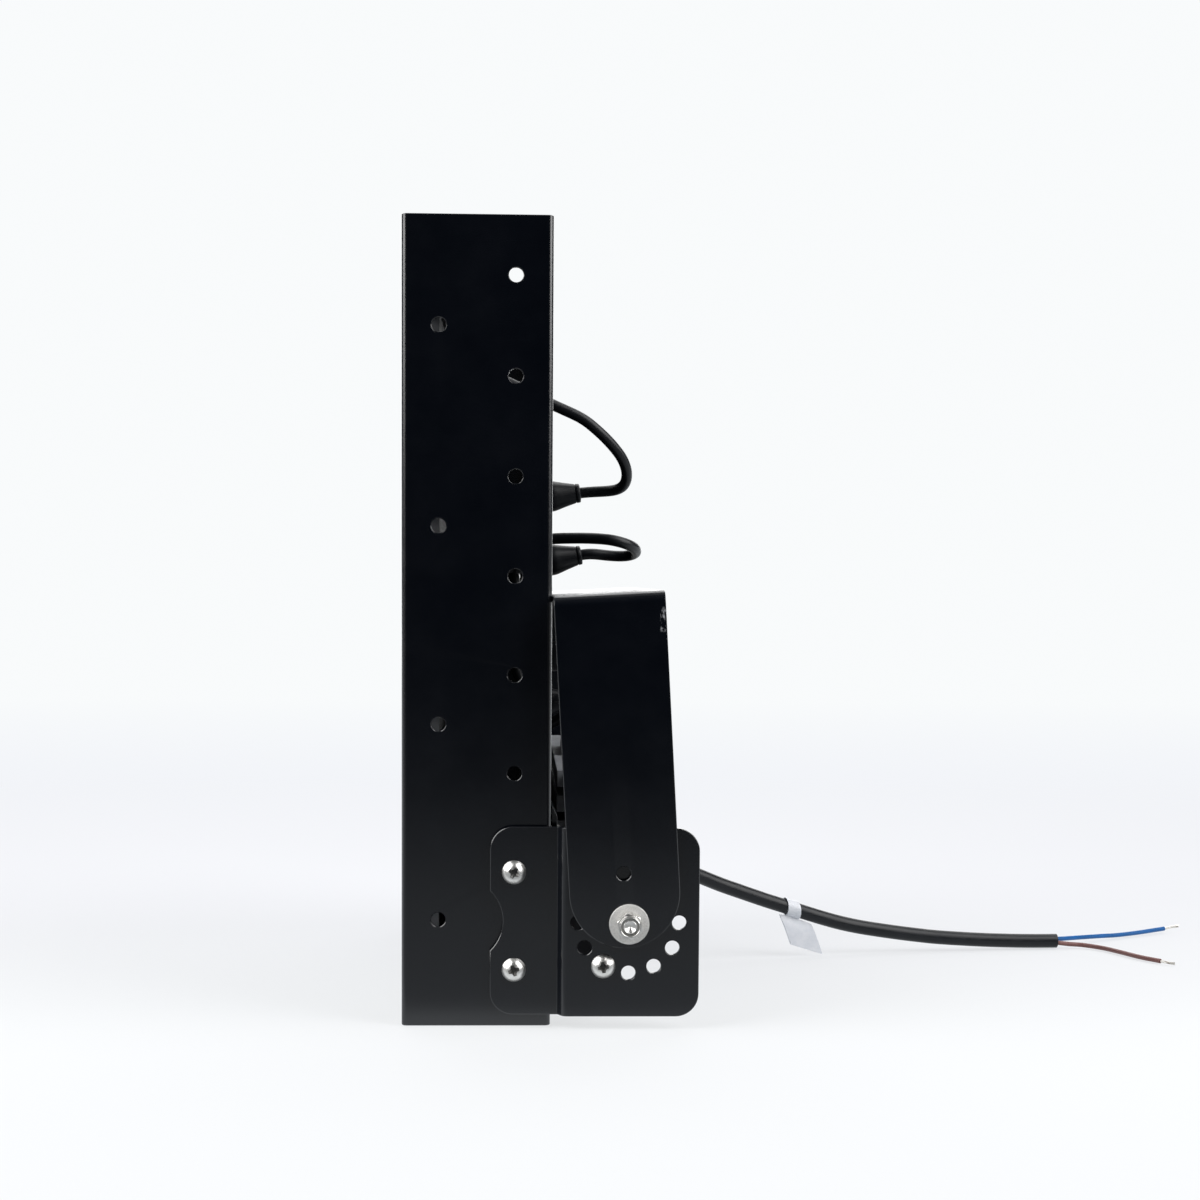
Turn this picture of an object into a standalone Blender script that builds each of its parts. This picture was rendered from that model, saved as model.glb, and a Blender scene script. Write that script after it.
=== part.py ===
"""LED flood light with a folding yoke, standing on one end.

Blender 4.5, metres, +Z up. Every body is modelled in the lamp's own frame, where x runs back from the
front face, y across the width from the middle, and z up from the end that the lamp stands on. An empty
moves that frame so that the origin lies under the middle of the part.
"""
from math import asin, atan2, cos, hypot, pi, radians, sin

import bmesh
import bpy
from mathutils import Matrix, Vector
from mathutils.geometry import tessellate_polygon

# Fits
GAP = 0.0003
HEAD_EDGE_SHARE = 0.45
HEAD_TOP_SHARES = (0.66, 0.92)
OVERRUN = 0.004
ROUND = 12
SMALL_ROUND = 8
THREAD_SIDES = 6

# Side frames: channels of bent sheet
FRAME_WIDTH = 0.290
FRAME_DEPTH = 0.065
FRAME_SHEET = 0.002
FRAME_FLANGE = 0.015
FRAME_BEND = 0.0025
MODULE_COUNT = 4
MODULE_PITCH = 0.0855
END_MARGIN = 0.004
SPARE_HOLE = 0.0063
REAR_HOLE_EDGE = 0.016
FRONT_HOLE_EDGE = 0.016
FRAME_HEIGHT = MODULE_COUNT * MODULE_PITCH + 2 * END_MARGIN
HOLE_PITCH = MODULE_PITCH / 2
HOLE_COUNT = 2 * MODULE_COUNT
REAR_HOLE_X = FRAME_DEPTH - REAR_HOLE_EDGE
FRAME_SIDE = FRAME_WIDTH / 2
FRAME_INSIDE = FRAME_SIDE - FRAME_SHEET
FLANGE_TIP = FRAME_SIDE - FRAME_FLANGE

# Angle brackets
BRACKET_SHEET = 0.003
BRACKET_HEIGHT = 0.0824
BRACKET_MARGIN = 0.0104
BRACKET_REACH = 0.0307
BRACKET_CORNER = 0.010
STEP_START = 0.0030
STEP_RUN = 0.0031
STEP_DEPTH = 0.005
NOTCH_HEIGHT = 0.0262
NOTCH_DEPTH = 0.0056
PIVOT_BACK = 0.0338
LOCK_RADIUS = 0.022
LOCK_HOLE = 0.0063
LOCK_STEP = 30
LOCK_HOLES = 7
STORED_LOCK = 4
PIVOT_X = FRAME_DEPTH + PIVOT_BACK
PIVOT_Z = END_MARGIN + HOLE_PITCH
BRACKET_INNER = FRAME_SIDE + GAP
STEP_INNER = BRACKET_INNER + STEP_DEPTH
STEP_OUTER = STEP_INNER + BRACKET_SHEET
BRACKET_FRONT = REAR_HOLE_X - BRACKET_MARGIN
BRACKET_BACK = PIVOT_X + BRACKET_REACH

# Yoke: one flat bar bent into a U
YOKE_BAR = 0.048
YOKE_SHEET = 0.003
YOKE_REACH = 0.143
YOKE_BEND = 0.005
YOKE_SHIFT = 0.0012
YOKE_ROUND_RISE = 0.0135
YOKE_CENTRE_HOLE = 0.013
YOKE_SIDE_HOLE = 0.009
YOKE_SIDE_SPACING = 0.070
ARM_INNER = STEP_OUTER + GAP
ARM_OUTER = ARM_INNER + YOKE_SHEET

# Fasteners
M5_SHANK = 0.005
M5_HOLE = 0.0055
M5_HEAD = 0.0102
M5_HEAD_HEIGHT = 0.0036
M5_NUT = 0.008
M5_NUT_HEIGHT = 0.004
M5_END = 0.0013
M4_HOLE = 0.0044
M4_HEAD = 0.0076
M3_HOLE = 0.0034
PIVOT_SHANK = 0.006
PIVOT_HOLE = 0.0066
PIVOT_HEAD = 0.010
PIVOT_HEAD_HEIGHT = 0.004
WASHER = 0.0175
WASHER_SHEET = 0.0015
STOP_NUT = 0.010
STOP_NUT_HEX = 0.0052
STOP_NUT_HEIGHT = 0.008
STOP_NUT_COLLAR = 0.0092
STOP_NUT_ROUNDING = 0.0003
STOP_NUT_MOUTH = 0.0079
STOP_NUT_MOUTH_DEPTH = 0.0012
STOP_NUT_EDGE_SHARE = 0.86
PIVOT_END_DEPTH = 0.0004

# Light modules
MODULE_SPACING = 0.0045
MODULE_END_CLEARANCE = 0.0005
RIM_WIDTH = 0.007
TRAY_DEPTH = 0.0087
BASE_SHEET = 0.0053
FIN_COUNT = 8
FIN_SHEET = 0.0022
FIN_DEPTH = 0.0277
CHANNEL_WIDTH = 0.034
MODULE_SCREW_DEPTH = 0.010
GASKET_BAND = 0.0079
GASKET_SHEET = 0.0024
BOARD_SHEET = 0.0016
LENS_SHEET = 0.002
LENS_MARGIN = 0.0003
LENS_END_MARGIN = 0.0008
LENS_SCREW_DEPTH = 0.004
DOME_RADIUS = 0.0105
DOME_HEIGHT = 0.0042
DOME_PITCH = 0.030
DOME_SPAN = 2 * (FLANGE_TIP - LENS_END_MARGIN - GASKET_BAND - DOME_RADIUS)
DOME_COLUMNS = 1 + int(DOME_SPAN / DOME_PITCH)
DOME_ROW_SPACING = 0.025
DOME_CROWN_SHARES = (0.62, 0.80)
MODULE_HEIGHT = MODULE_PITCH - MODULE_SPACING
MODULE_LENGTH = 2 * (FRAME_INSIDE - MODULE_END_CLEARANCE)
RIM_X = FRAME_SHEET + GAP
TRAY_X = RIM_X + TRAY_DEPTH
BASE_X = TRAY_X + BASE_SHEET
FIN_X = BASE_X + FIN_DEPTH
GASKET_X = TRAY_X - GAP - GASKET_SHEET
LENS_X = GASKET_X - GAP - LENS_SHEET

# Module leads, with their glands, plugs and sockets
LEAD = 0.0054
LEAD_STEP = 0.0085
GLAND_HEX = 0.012
GLAND_HEX_HEIGHT = 0.004
GLAND_NECK = 0.0095
GLAND_HEIGHT = 0.0137
GLAND_Y = -0.009
GLAND_DROP = 0.0095
PLUG_LENGTH = 0.0172
PLUG_TAIL = 0.0074
PLUG_WIDE = 0.0152
PLUG_SHARES = ((0.03, 0.56), (0.13, 0.57), (0.72, 0.96), (0.82, 1.0), (1.0, 1.0))
SOCKET_LENGTH = 0.0174
SOCKET_WIDE = 0.0152
SOCKET_SHARES = ((0.15, 0.51), (0.44, 0.80), (0.50, 1.0), (1.0, 1.0))
GLAND_SHOULDER_SHARE = 0.72
GLAND_MOUTH_SHARE = 1.24

# Driver and the plate that carries it
PLATE_SHEET = 0.0025
PLATE_TOP = 0.097
PLATE_BOTTOM = 0.007
PLATE_SIDE_MARGIN = 0.004
PLATE_CHAMFER = 0.005
PLATE_SCREW_RISE = 0.013
DRIVER_LENGTH = 0.230
DRIVER_BOTTOM = 0.012
DRIVER_RIBS = 9
RIB_PITCH = 0.0113
RIB_WIDTH = 0.0074
RIB_DEPTH = 0.004
DRIVER_CORE = 0.013
DRIVER_WALL = 0.0035
DRIVER_END_WALL = 0.005
DRIVER_CAP = 0.003
DRIVER_CAP_MARGIN = 0.001
DRIVER_SCREW_INSET = 0.025
DRIVER_GLAND_PITCH = 0.016
DRIVER_GLAND_HEIGHT = 0.012
PLATE_X = FRAME_DEPTH + GAP
DRIVER_X = PLATE_X + PLATE_SHEET + GAP
DRIVER_BACK = DRIVER_X + 2 * RIB_DEPTH + DRIVER_CORE
DRIVER_HEIGHT = (DRIVER_RIBS - 1) * RIB_PITCH + RIB_WIDTH
DRIVER_TOP = DRIVER_BOTTOM + DRIVER_HEIGHT
DRIVER_MID = (DRIVER_X + DRIVER_BACK) / 2

# Supply cord, its cores and its tag
CORD = 0.0075
CORD_STEP = 0.016
CORE = 0.0024
CORE_STEP = 0.0058
TIP = 0.0015
TIP_STEP = 0.004
SUPPLY_GLAND_Y = 0.014
SUPPLY_GLAND_Z = 0.053
SUPPLY_GLAND_HEX = 0.017
SUPPLY_GLAND_HEX_HEIGHT = 0.005
SUPPLY_GLAND_LENGTH = 0.0219
SUPPLY_GLAND_NUT_SHARE = 0.90
SUPPLY_GLAND_SHARES = ((0.42, 1.0), (0.52, 0.82))
TAG_SHEET = 0.0005
TAG_BAND = 0.0074
TAG_WIDTH = 0.0187
TAG_OFFSET = 0.0015
TAG_DROP = 0.0138
TAG_TILT = 10
BAND_SHEAR_SHARE = 0.34
TAG_SHEAR_SHARE = 0.79

# Routes: points chosen by hand, from the lamp's front face, mid-width and foot
TOP_LEAD_ROUTE = [
    (0.0306, -0.0090, 0.29375), (0.0360, -0.0090, 0.29375), (0.0470, -0.0092, 0.2898),
    (0.0580, -0.0095, 0.2842), (0.0679, -0.0095, 0.2797), (0.0815, -0.0090, 0.2736),
    (0.0887, -0.0075, 0.2683), (0.0947, -0.0050, 0.2630), (0.1006, -0.0010, 0.2565),
    (0.1035, 0.0025, 0.2515), (0.1046, 0.0060, 0.2468), (0.1038, 0.0092, 0.2425),
    (0.1008, 0.0115, 0.2400), (0.0945, 0.0134, 0.2391), (0.0880, 0.0139, 0.2388),
    (0.0838, 0.0140, 0.23845), (0.0818, 0.0140, 0.2382),
]
UPPER_LEAD_ROUTE = [
    (0.0306, -0.0090, 0.20825), (0.0360, -0.0090, 0.20825), (0.0480, -0.0092, 0.2110),
    (0.0580, -0.0098, 0.2135), (0.0682, -0.0105, 0.2149), (0.0745, -0.0125, 0.2151),
    (0.0816, -0.0145, 0.2152), (0.0887, -0.0165, 0.2148), (0.0958, -0.0175, 0.2137),
    (0.1023, -0.0160, 0.2115), (0.1068, -0.0110, 0.2100), (0.1088, -0.0040, 0.2088),
    (0.1083, 0.0035, 0.2076), (0.1050, 0.0080, 0.2069), (0.0995, 0.0095, 0.2068),
    (0.0930, 0.0090, 0.2073), (0.0880, 0.0082, 0.2079), (0.0844, 0.0080, 0.20766),
    (0.0824, 0.0080, 0.2073),
]
LOWER_LEAD_ROUTE = [
    (0.0306, -0.0090, 0.12275), (0.0370, -0.0090, 0.12275), (0.0500, -0.0130, 0.1218),
    (0.0600, -0.0160, 0.1218), (0.0680, -0.0165, 0.1250), (0.0760, -0.0170, 0.1305),
    (0.0860, -0.0170, 0.1380), (0.0940, -0.0150, 0.1460), (0.0985, -0.0100, 0.1530),
    (0.0980, -0.0040, 0.1567), (0.0940, 0.0005, 0.1572), (0.0885, 0.0020, 0.1570),
    (0.0838, 0.0020, 0.1570),
]
BOTTOM_LEAD_ROUTE = [
    (0.0306, -0.0090, 0.03725), (0.0360, -0.0090, 0.03725), (0.0450, -0.0130, 0.0355),
    (0.0515, -0.0200, 0.0355), (0.0543, -0.0258, 0.0410), (0.0545, -0.0270, 0.0500),
    (0.0545, -0.0270, 0.0577),
]
TOP_DRIVER_ROUTE = [
    (0.0472, 0.0139, 0.2339), (0.0432, 0.0139, 0.2334), (0.0398, 0.0139, 0.2300),
    (0.0388, 0.0139, 0.2220), (0.0402, 0.0140, 0.2130), (0.0452, 0.0151, 0.2045),
    (0.0487, 0.0155, 0.1980), (0.0488, 0.0155, 0.1900), (0.0486, 0.0155, 0.1750),
    (0.0486, 0.0155, 0.1600), (0.0500, 0.0160, 0.1480), (0.0560, 0.0180, 0.1400),
    (0.0650, 0.0220, 0.1375), (0.0730, 0.0240, 0.1360), (0.0775, 0.0240, 0.1310),
    (0.0786, 0.0240, 0.1265), (0.0786, 0.0240, 0.1225),
]
UPPER_DRIVER_ROUTE = [
    (0.0481, 0.0080, 0.2011), (0.0442, 0.0080, 0.2004), (0.0403, 0.0080, 0.1970),
    (0.0388, 0.0080, 0.1900), (0.0385, 0.0080, 0.1700), (0.0385, 0.0080, 0.1500),
    (0.0405, 0.0080, 0.1385), (0.0480, 0.0080, 0.1325), (0.0590, 0.0080, 0.1325),
    (0.0700, 0.0080, 0.1345), (0.0767, 0.0080, 0.1325), (0.0786, 0.0080, 0.1275),
    (0.0786, 0.0080, 0.1225),
]
LOWER_DRIVER_ROUTE = [
    (0.0489, 0.0020, 0.1570), (0.0440, 0.0020, 0.1569), (0.0397, 0.0015, 0.1520),
    (0.0388, 0.0005, 0.1420), (0.0415, -0.0010, 0.1325), (0.0500, -0.0035, 0.1270),
    (0.0610, -0.0060, 0.1290), (0.0705, -0.0078, 0.1325), (0.0767, -0.0080, 0.1318),
    (0.0786, -0.0080, 0.1275), (0.0786, -0.0080, 0.1225),
]
BOTTOM_DRIVER_ROUTE = [
    (0.0545, -0.0270, 0.0926), (0.0545, -0.0270, 0.1000), (0.0550, -0.0270, 0.1130),
    (0.0590, -0.0265, 0.1250), (0.0670, -0.0250, 0.1325), (0.0750, -0.0242, 0.1335),
    (0.0786, -0.0240, 0.1282), (0.0786, -0.0240, 0.1225),
]
CORD_ROUTE = [
    (0.1116, 0.0140, 0.0530), (0.1186, 0.0140, 0.0530), (0.1275, 0.0162, 0.0508),
    (0.1360, 0.0201, 0.0474), (0.1445, 0.0240, 0.0438), (0.1553, 0.0290, 0.0390),
    (0.1661, 0.0330, 0.0348), (0.1800, 0.0374, 0.0296), (0.1940, 0.0413, 0.0248),
    (0.2095, 0.0450, 0.0196), (0.2205, 0.0475, 0.0163), (0.2314, 0.0500, 0.0137),
    (0.2424, 0.0520, 0.0117), (0.2534, 0.0540, 0.0099), (0.2644, 0.0560, 0.0083),
    (0.2754, 0.0575, 0.0070), (0.2974, 0.0605, 0.0053), (0.3195, 0.0630, 0.0043),
    (0.3394, 0.0650, 0.0040),
]
BLUE_ROUTE = [
    (0.3398, 0.0668, 0.0047), (0.3450, 0.0700, 0.0044), (0.3570, 0.0800, 0.0035),
    (0.3700, 0.0895, 0.0027), (0.3806, 0.0965, 0.0021), (0.3950, 0.1060, 0.0020),
    (0.4130, 0.1180, 0.0024),
]
BROWN_ROUTE = [
    (0.3398, 0.0634, 0.0032), (0.3460, 0.0640, 0.0024), (0.3540, 0.0640, 0.0018),
    (0.3625, 0.0560, 0.0015), (0.3685, 0.0425, 0.0015), (0.3745, 0.0270, 0.0015),
    (0.3815, 0.0150, 0.0015),
]
BLUE_TIP_ROUTE = [(0.4133, 0.1182, 0.0024), (0.4180, 0.1214, 0.0026), (0.4235, 0.1252, 0.0028)]
BROWN_TIP_ROUTE = [(0.3817, 0.0146, 0.0015), (0.3840, 0.0112, 0.0014), (0.3868, 0.0072, 0.0014)]
TAG_POINT = 8

MATERIALS = {
    "black_coat": ((0.012, 0.013, 0.016), 0.42, 0.0),
    "aluminium": ((0.60, 0.61, 0.63), 0.38, 1.0),
    "grey_cast": ((0.30, 0.31, 0.33), 0.48, 0.8),
    "stainless": ((0.72, 0.71, 0.69), 0.24, 1.0),
    "board": ((0.86, 0.87, 0.86), 0.50, 0.0),
    "clear_plastic": ((0.90, 0.92, 0.94), 0.12, 0.0),
    "silicone": ((0.22, 0.22, 0.23), 0.70, 0.0),
    "black_rubber": ((0.014, 0.014, 0.016), 0.50, 0.0),
    "black_plastic": ((0.018, 0.018, 0.020), 0.40, 0.0),
    "potting": ((0.05, 0.05, 0.055), 0.55, 0.0),
    "blue_core": ((0.005, 0.09, 0.48), 0.40, 0.0),
    "brown_core": ((0.20, 0.085, 0.075), 0.45, 0.0),
    "white_label": ((0.80, 0.81, 0.84), 0.55, 0.0),
}


def clear_scene():
    for found in list(bpy.data.objects):
        bpy.data.objects.remove(found, do_unlink=True)


def material(name):
    found = bpy.data.materials.get(name)
    if found:
        return found
    color, roughness, metallic = MATERIALS[name]
    made = bpy.data.materials.new(name)
    made.use_nodes = True
    shader = made.node_tree.nodes["Principled BSDF"]
    shader.inputs["Base Color"].default_value = (*color, 1.0)
    shader.inputs["Roughness"].default_value = roughness
    shader.inputs["Metallic"].default_value = metallic
    return made


def empty(name, place, parent=None, turn=0.0):
    made = bpy.data.objects.new(name, None)
    made.location = place
    made.rotation_euler = (0.0, turn, 0.0)
    made.parent = parent
    bpy.context.collection.objects.link(made)
    return made


def add_object(name, shell, finish, parent):
    """Turns a bmesh into an object, smooth where its faces nearly agree."""
    bmesh.ops.recalc_face_normals(shell, faces=shell.faces[:])
    mesh = bpy.data.meshes.new(name)
    shell.to_mesh(mesh)
    shell.free()
    mesh.shade_smooth()
    mesh.set_sharp_from_angle(angle=radians(35))
    mesh.materials.append(material(finish))
    made = bpy.data.objects.new(name, mesh)
    made.parent = parent
    bpy.context.collection.objects.link(made)
    return made


def cut(target, shell, operation="DIFFERENCE"):
    """Cuts an object with a hidden guide shape."""
    guide = add_object(target.name + "_guide", shell, "black_coat", target.parent)
    guide.hide_render = True
    guide.display_type = "WIRE"
    modifier = target.modifiers.new(operation.lower(), "BOOLEAN")
    modifier.operation = operation
    modifier.solver = "EXACT"
    modifier.object = guide


def circle(centre, radius, sides=ROUND):
    steps = [2 * pi * (k + 0.5) / sides for k in range(sides)]
    return [(centre[0] + radius * cos(a), centre[1] + radius * sin(a)) for a in steps]


def arc(centre, radius, start, end, pieces=4):
    """Points along an arc, with its angles in degrees."""
    steps = [radians(start + (end - start) * k / pieces) for k in range(pieces + 1)]
    return [(centre[0] + radius * cos(a), centre[1] + radius * sin(a)) for a in steps]


def rectangle(low, high):
    return [(low[0], low[1]), (high[0], low[1]), (high[0], high[1]), (low[0], high[1])]


def place_point(point, depth, axis):
    """Maps a point of an outline and its depth along the axis across it."""
    if axis == "x":
        return Vector((depth, point[0], point[1]))
    if axis == "y":
        return Vector((point[0], depth, point[1]))
    return Vector((point[0], point[1], depth))


def add_plate(shell, outline, holes, low, high, axis):
    """A plate with straight walls: its outline and holes lie across the axis."""
    loops = [outline] + holes
    flat = [[Vector((u, v, 0.0)) for u, v in loop] for loop in loops]
    triangles = tessellate_polygon(flat)
    points = [point for loop in loops for point in loop]
    bottom = [shell.verts.new(place_point(point, low, axis)) for point in points]
    top = [shell.verts.new(place_point(point, high, axis)) for point in points]
    for a, b, c in triangles:
        shell.faces.new((bottom[a], bottom[b], bottom[c]))
        shell.faces.new((top[c], top[b], top[a]))
    start = 0
    for loop in loops:
        count = len(loop)
        for k in range(count):
            a = start + k
            b = start + (k + 1) % count
            shell.faces.new((bottom[a], bottom[b], top[b], top[a]))
        start += count


def plate(outline, holes, low, high, axis):
    shell = bmesh.new()
    add_plate(shell, outline, holes, low, high, axis)
    return shell


def add_rods(shell, centres, radius, low, high, axis, sides=ROUND):
    """Round cutters, one at each centre."""
    for centre in centres:
        add_plate(shell, circle(centre, radius, sides), [], low, high, axis)


def ring(radius, height, sides):
    steps = [2 * pi * (k + 0.5) / sides for k in range(sides)]
    return [Vector((radius * cos(a), radius * sin(a), height)) for a in steps]


def hexagon(across, height):
    """A hexagon of twelve points, corners and middles of its sides in turn."""
    corner = across / (2 * cos(pi / 6))
    steps = [(pi * k / 6, corner if k % 2 == 0 else across / 2) for k in range(12)]
    return [Vector((radius * cos(a), radius * sin(a), height)) for a, radius in steps]


def add_skin(shell, rings, place, closed=False):
    """Skins rings of points, where a ring of one point is a pole."""
    loops = [[shell.verts.new(place @ point) for point in loop] for loop in rings]
    pairs = list(zip(loops, loops[1:]))
    if closed:
        pairs.append((loops[-1], loops[0]))
    for low, high in pairs:
        count = max(len(low), len(high))
        for k in range(count):
            a = low[k % len(low)]
            b = low[(k + 1) % len(low)]
            c = high[(k + 1) % len(high)]
            d = high[k % len(high)]
            shell.faces.new(list(dict.fromkeys((a, b, c, d))))


def facing(point, direction):
    """A placement at a point, with its height along the direction."""
    turn = Vector(direction).to_track_quat("Z", "Y").to_matrix().to_4x4()
    return Matrix.Translation(Vector(point)) @ turn


def add_screw(shell, place, shank, length, head, head_height, sides=SMALL_ROUND):
    """A pan-head screw whose head stands on its placement and whose shank runs below it."""
    rings = [
        [Vector((0.0, 0.0, -length))],
        ring(shank / 2, -length, sides),
        ring(shank / 2, 0.0, sides),
        ring(head / 2, 0.0, sides),
        ring(head / 2, head_height * HEAD_EDGE_SHARE, sides),
        ring(head / 2 * HEAD_TOP_SHARES[0], head_height * HEAD_TOP_SHARES[1], sides),
        [Vector((0.0, 0.0, head_height))],
    ]
    add_skin(shell, rings, place)


def add_nut(shell, place, across, bore, height):
    rings = [hexagon(across, 0.0), hexagon(across, height), ring(bore / 2, height, 12), ring(bore / 2, 0.0, 12)]
    add_skin(shell, rings, place, closed=True)


def smooth_points(route, step):
    """Evenly spaced points on a smooth curve through the route's own points."""
    points = [Vector(point) for point in route]
    ends = [2 * points[0] - points[1]] + points + [2 * points[-1] - points[-2]]
    fine = []
    for k in range(1, len(ends) - 2):
        before, start, end, after = ends[k - 1:k + 3]
        for part in range(16):
            t = part / 16
            fine.append(0.5 * (
                2 * start + (end - before) * t
                + (2 * before - 5 * start + 4 * end - after) * t * t
                + (3 * start - before - 3 * end + after) * t ** 3))
    fine.append(points[-1])
    lengths = [0.0]
    for a, b in zip(fine, fine[1:]):
        lengths.append(lengths[-1] + (b - a).length)
    count = max(2, round(lengths[-1] / step))
    result = []
    place = 0
    for k in range(count + 1):
        target = lengths[-1] * k / count
        while place < len(fine) - 2 and lengths[place + 1] < target:
            place += 1
        run = lengths[place + 1] - lengths[place]
        result.append(fine[place].lerp(fine[place + 1], (target - lengths[place]) / run))
    return result


def tube(name, route, diameter, step, finish, parent, resolution=2, bare=None):
    """A round tube with filled caps: straight to its second point, smooth beyond, thinner where it is bare."""
    curve = bpy.data.curves.new(name, "CURVE")
    curve.dimensions = "3D"
    curve.bevel_depth = diameter / 2
    curve.bevel_resolution = resolution
    curve.use_fill_caps = True
    points = [Vector(route[0])] + smooth_points(route[1:], step)
    tip = smooth_points(bare, TIP_STEP) if bare else []
    spline = curve.splines.new("POLY")
    spline.points.add(len(points) + len(tip) - 1)
    spline.use_smooth = True
    for point, place in zip(spline.points, points + tip):
        point.co = (*place, 1.0)
    for point in spline.points[len(points):]:
        point.radius = TIP / diameter
    curve.materials.append(material(finish))
    made = bpy.data.objects.new(name, curve)
    made.parent = parent
    bpy.context.collection.objects.link(made)


def module_height(index):
    return END_MARGIN + MODULE_PITCH * (index + 0.5)


def rear_holes():
    return [(REAR_HOLE_X, END_MARGIN + HOLE_PITCH * (k + 0.5)) for k in range(HOLE_COUNT)]


def module_screw_places():
    rise = (MODULE_HEIGHT - RIM_WIDTH) / 2
    middle = (FLANGE_TIP + FRAME_INSIDE) / 2
    return [(middle, module_height(m) + side * rise) for m in range(MODULE_COUNT) for side in (-1, 1)]


def plate_screw_places():
    middle = (FLANGE_TIP + FRAME_SIDE - PLATE_SIDE_MARGIN) / 2
    return [(middle, PLATE_BOTTOM + PLATE_SCREW_RISE), (middle, PLATE_TOP - PLATE_SCREW_RISE)]


def channel_outline(side):
    """The bent sheet's section, from flange tip to flange tip and back inside."""
    front = (FRAME_BEND, FRAME_SIDE - FRAME_BEND)
    back = (FRAME_DEPTH - FRAME_BEND, FRAME_SIDE - FRAME_BEND)
    inner = FRAME_BEND - FRAME_SHEET
    outline = [(0.0, FLANGE_TIP)]
    outline += arc(front, FRAME_BEND, 180, 90, 3)
    outline += arc(back, FRAME_BEND, 90, 0, 3)
    outline += [(FRAME_DEPTH, FLANGE_TIP), (FRAME_DEPTH - FRAME_SHEET, FLANGE_TIP)]
    outline += arc(back, inner, 0, 90, 1)
    outline += arc(front, inner, 90, 180, 1)
    outline += [(FRAME_SHEET, FLANGE_TIP)]
    return [(x, side * y) for x, y in outline]


def add_side_frame(name, side, lamp):
    """A channel whose web faces outwards, with two welded nuts and its two columns of spare holes."""
    frame = add_object(name, plate(channel_outline(side), [], 0.0, FRAME_HEIGHT, "z"), "black_coat", lamp)
    nuts = bmesh.new()
    for x, z in rear_holes()[:2]:
        place = facing((x, side * (FRAME_INSIDE + GAP), z), (0.0, -side, 0.0))
        height = M5_NUT_HEIGHT + GAP
        rings = [hexagon(M5_NUT, 0.0), hexagon(M5_NUT, height)]
        add_skin(nuts, [[Vector((0.0, 0.0, 0.0))]] + rings + [[Vector((0.0, 0.0, height))]], place)
    cut(frame, nuts, "UNION")
    holes = bmesh.new()
    low = side * (FRAME_INSIDE - M5_NUT_HEIGHT - OVERRUN)
    high = side * (FRAME_SIDE + OVERRUN)
    front = [(FRONT_HOLE_EDGE, module_height(m)) for m in range(MODULE_COUNT)]
    add_rods(holes, rear_holes()[:2], M5_HOLE / 2, low, high, "y")
    add_rods(holes, rear_holes()[2:] + front, SPARE_HOLE / 2, low, high, "y")
    seats = [(side * y, z) for y, z in module_screw_places()]
    for y, z in seats:
        place = facing((RIM_X, y, z), (-1.0, 0.0, 0.0))
        seat = M4_HOLE / 2
        mouth = M4_HEAD / 2 + 2 * GAP
        rings = [
            [Vector((0.0, 0.0, -OVERRUN))],
            ring(seat, -OVERRUN, SMALL_ROUND),
            ring(seat, GAP, SMALL_ROUND),
            ring(mouth, RIM_X + GAP, SMALL_ROUND),
            [Vector((0.0, 0.0, RIM_X + GAP))],
        ]
        add_skin(holes, rings, place)
    fixings = [(side * y, z) for y, z in plate_screw_places()]
    low = FRAME_DEPTH - FRAME_SHEET - OVERRUN
    add_rods(holes, fixings, M4_HOLE / 2, low, FRAME_DEPTH + OVERRUN, "x", SMALL_ROUND)
    cut(frame, holes)


def bracket_outline():
    """The bracket before its step is bent, with the waist notch in its front edge."""
    low = PIVOT_Z - BRACKET_HEIGHT / 2
    high = PIVOT_Z + BRACKET_HEIGHT / 2
    corner = BRACKET_CORNER
    radius = (NOTCH_HEIGHT ** 2 / 4 + NOTCH_DEPTH ** 2) / (2 * NOTCH_DEPTH)
    reach = radians(90) - atan2(radius - NOTCH_DEPTH, NOTCH_HEIGHT / 2)
    notch = (BRACKET_FRONT + NOTCH_DEPTH - radius, PIVOT_Z)
    sweep = 180 * reach / pi
    outline = arc((BRACKET_BACK - corner, high - corner), corner, 0, 90)
    outline += arc((BRACKET_FRONT + corner, high - corner), corner, 90, 180)
    outline += arc(notch, radius, sweep, -sweep, 6)
    outline += arc((BRACKET_FRONT + corner, low + corner), corner, 180, 270)
    outline += arc((BRACKET_BACK - corner, low + corner), corner, 270, 360)
    return outline


def lock_places():
    angles = [radians(-LOCK_STEP * k) for k in range(LOCK_HOLES)]
    return [(PIVOT_X + LOCK_RADIUS * cos(a), PIVOT_Z + LOCK_RADIUS * sin(a)) for a in angles]


def add_bracket(name, side, lamp):
    """A flat plate with its holes, then bent outwards in one step behind the side frame."""
    holes = [circle(place, M5_HOLE / 2) for place in rear_holes()[:2]]
    holes += [circle(place, LOCK_HOLE / 2) for place in lock_places()]
    holes.append(circle((PIVOT_X, PIVOT_Z), PIVOT_HOLE / 2))
    low = side * BRACKET_INNER
    shell = plate(bracket_outline(), holes, low, low + side * BRACKET_SHEET, "y")
    start = FRAME_DEPTH + STEP_START
    for x in (start, start + STEP_RUN):
        whole = shell.verts[:] + shell.edges[:] + shell.faces[:]
        bmesh.ops.bisect_plane(shell, geom=whole, plane_co=(x, 0.0, 0.0), plane_no=(1.0, 0.0, 0.0))
    for vert in shell.verts:
        share = min(max((vert.co.x - start) / STEP_RUN, 0.0), 1.0)
        vert.co.y += side * STEP_DEPTH * share
    add_object(name, shell, "black_coat", lamp)


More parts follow.
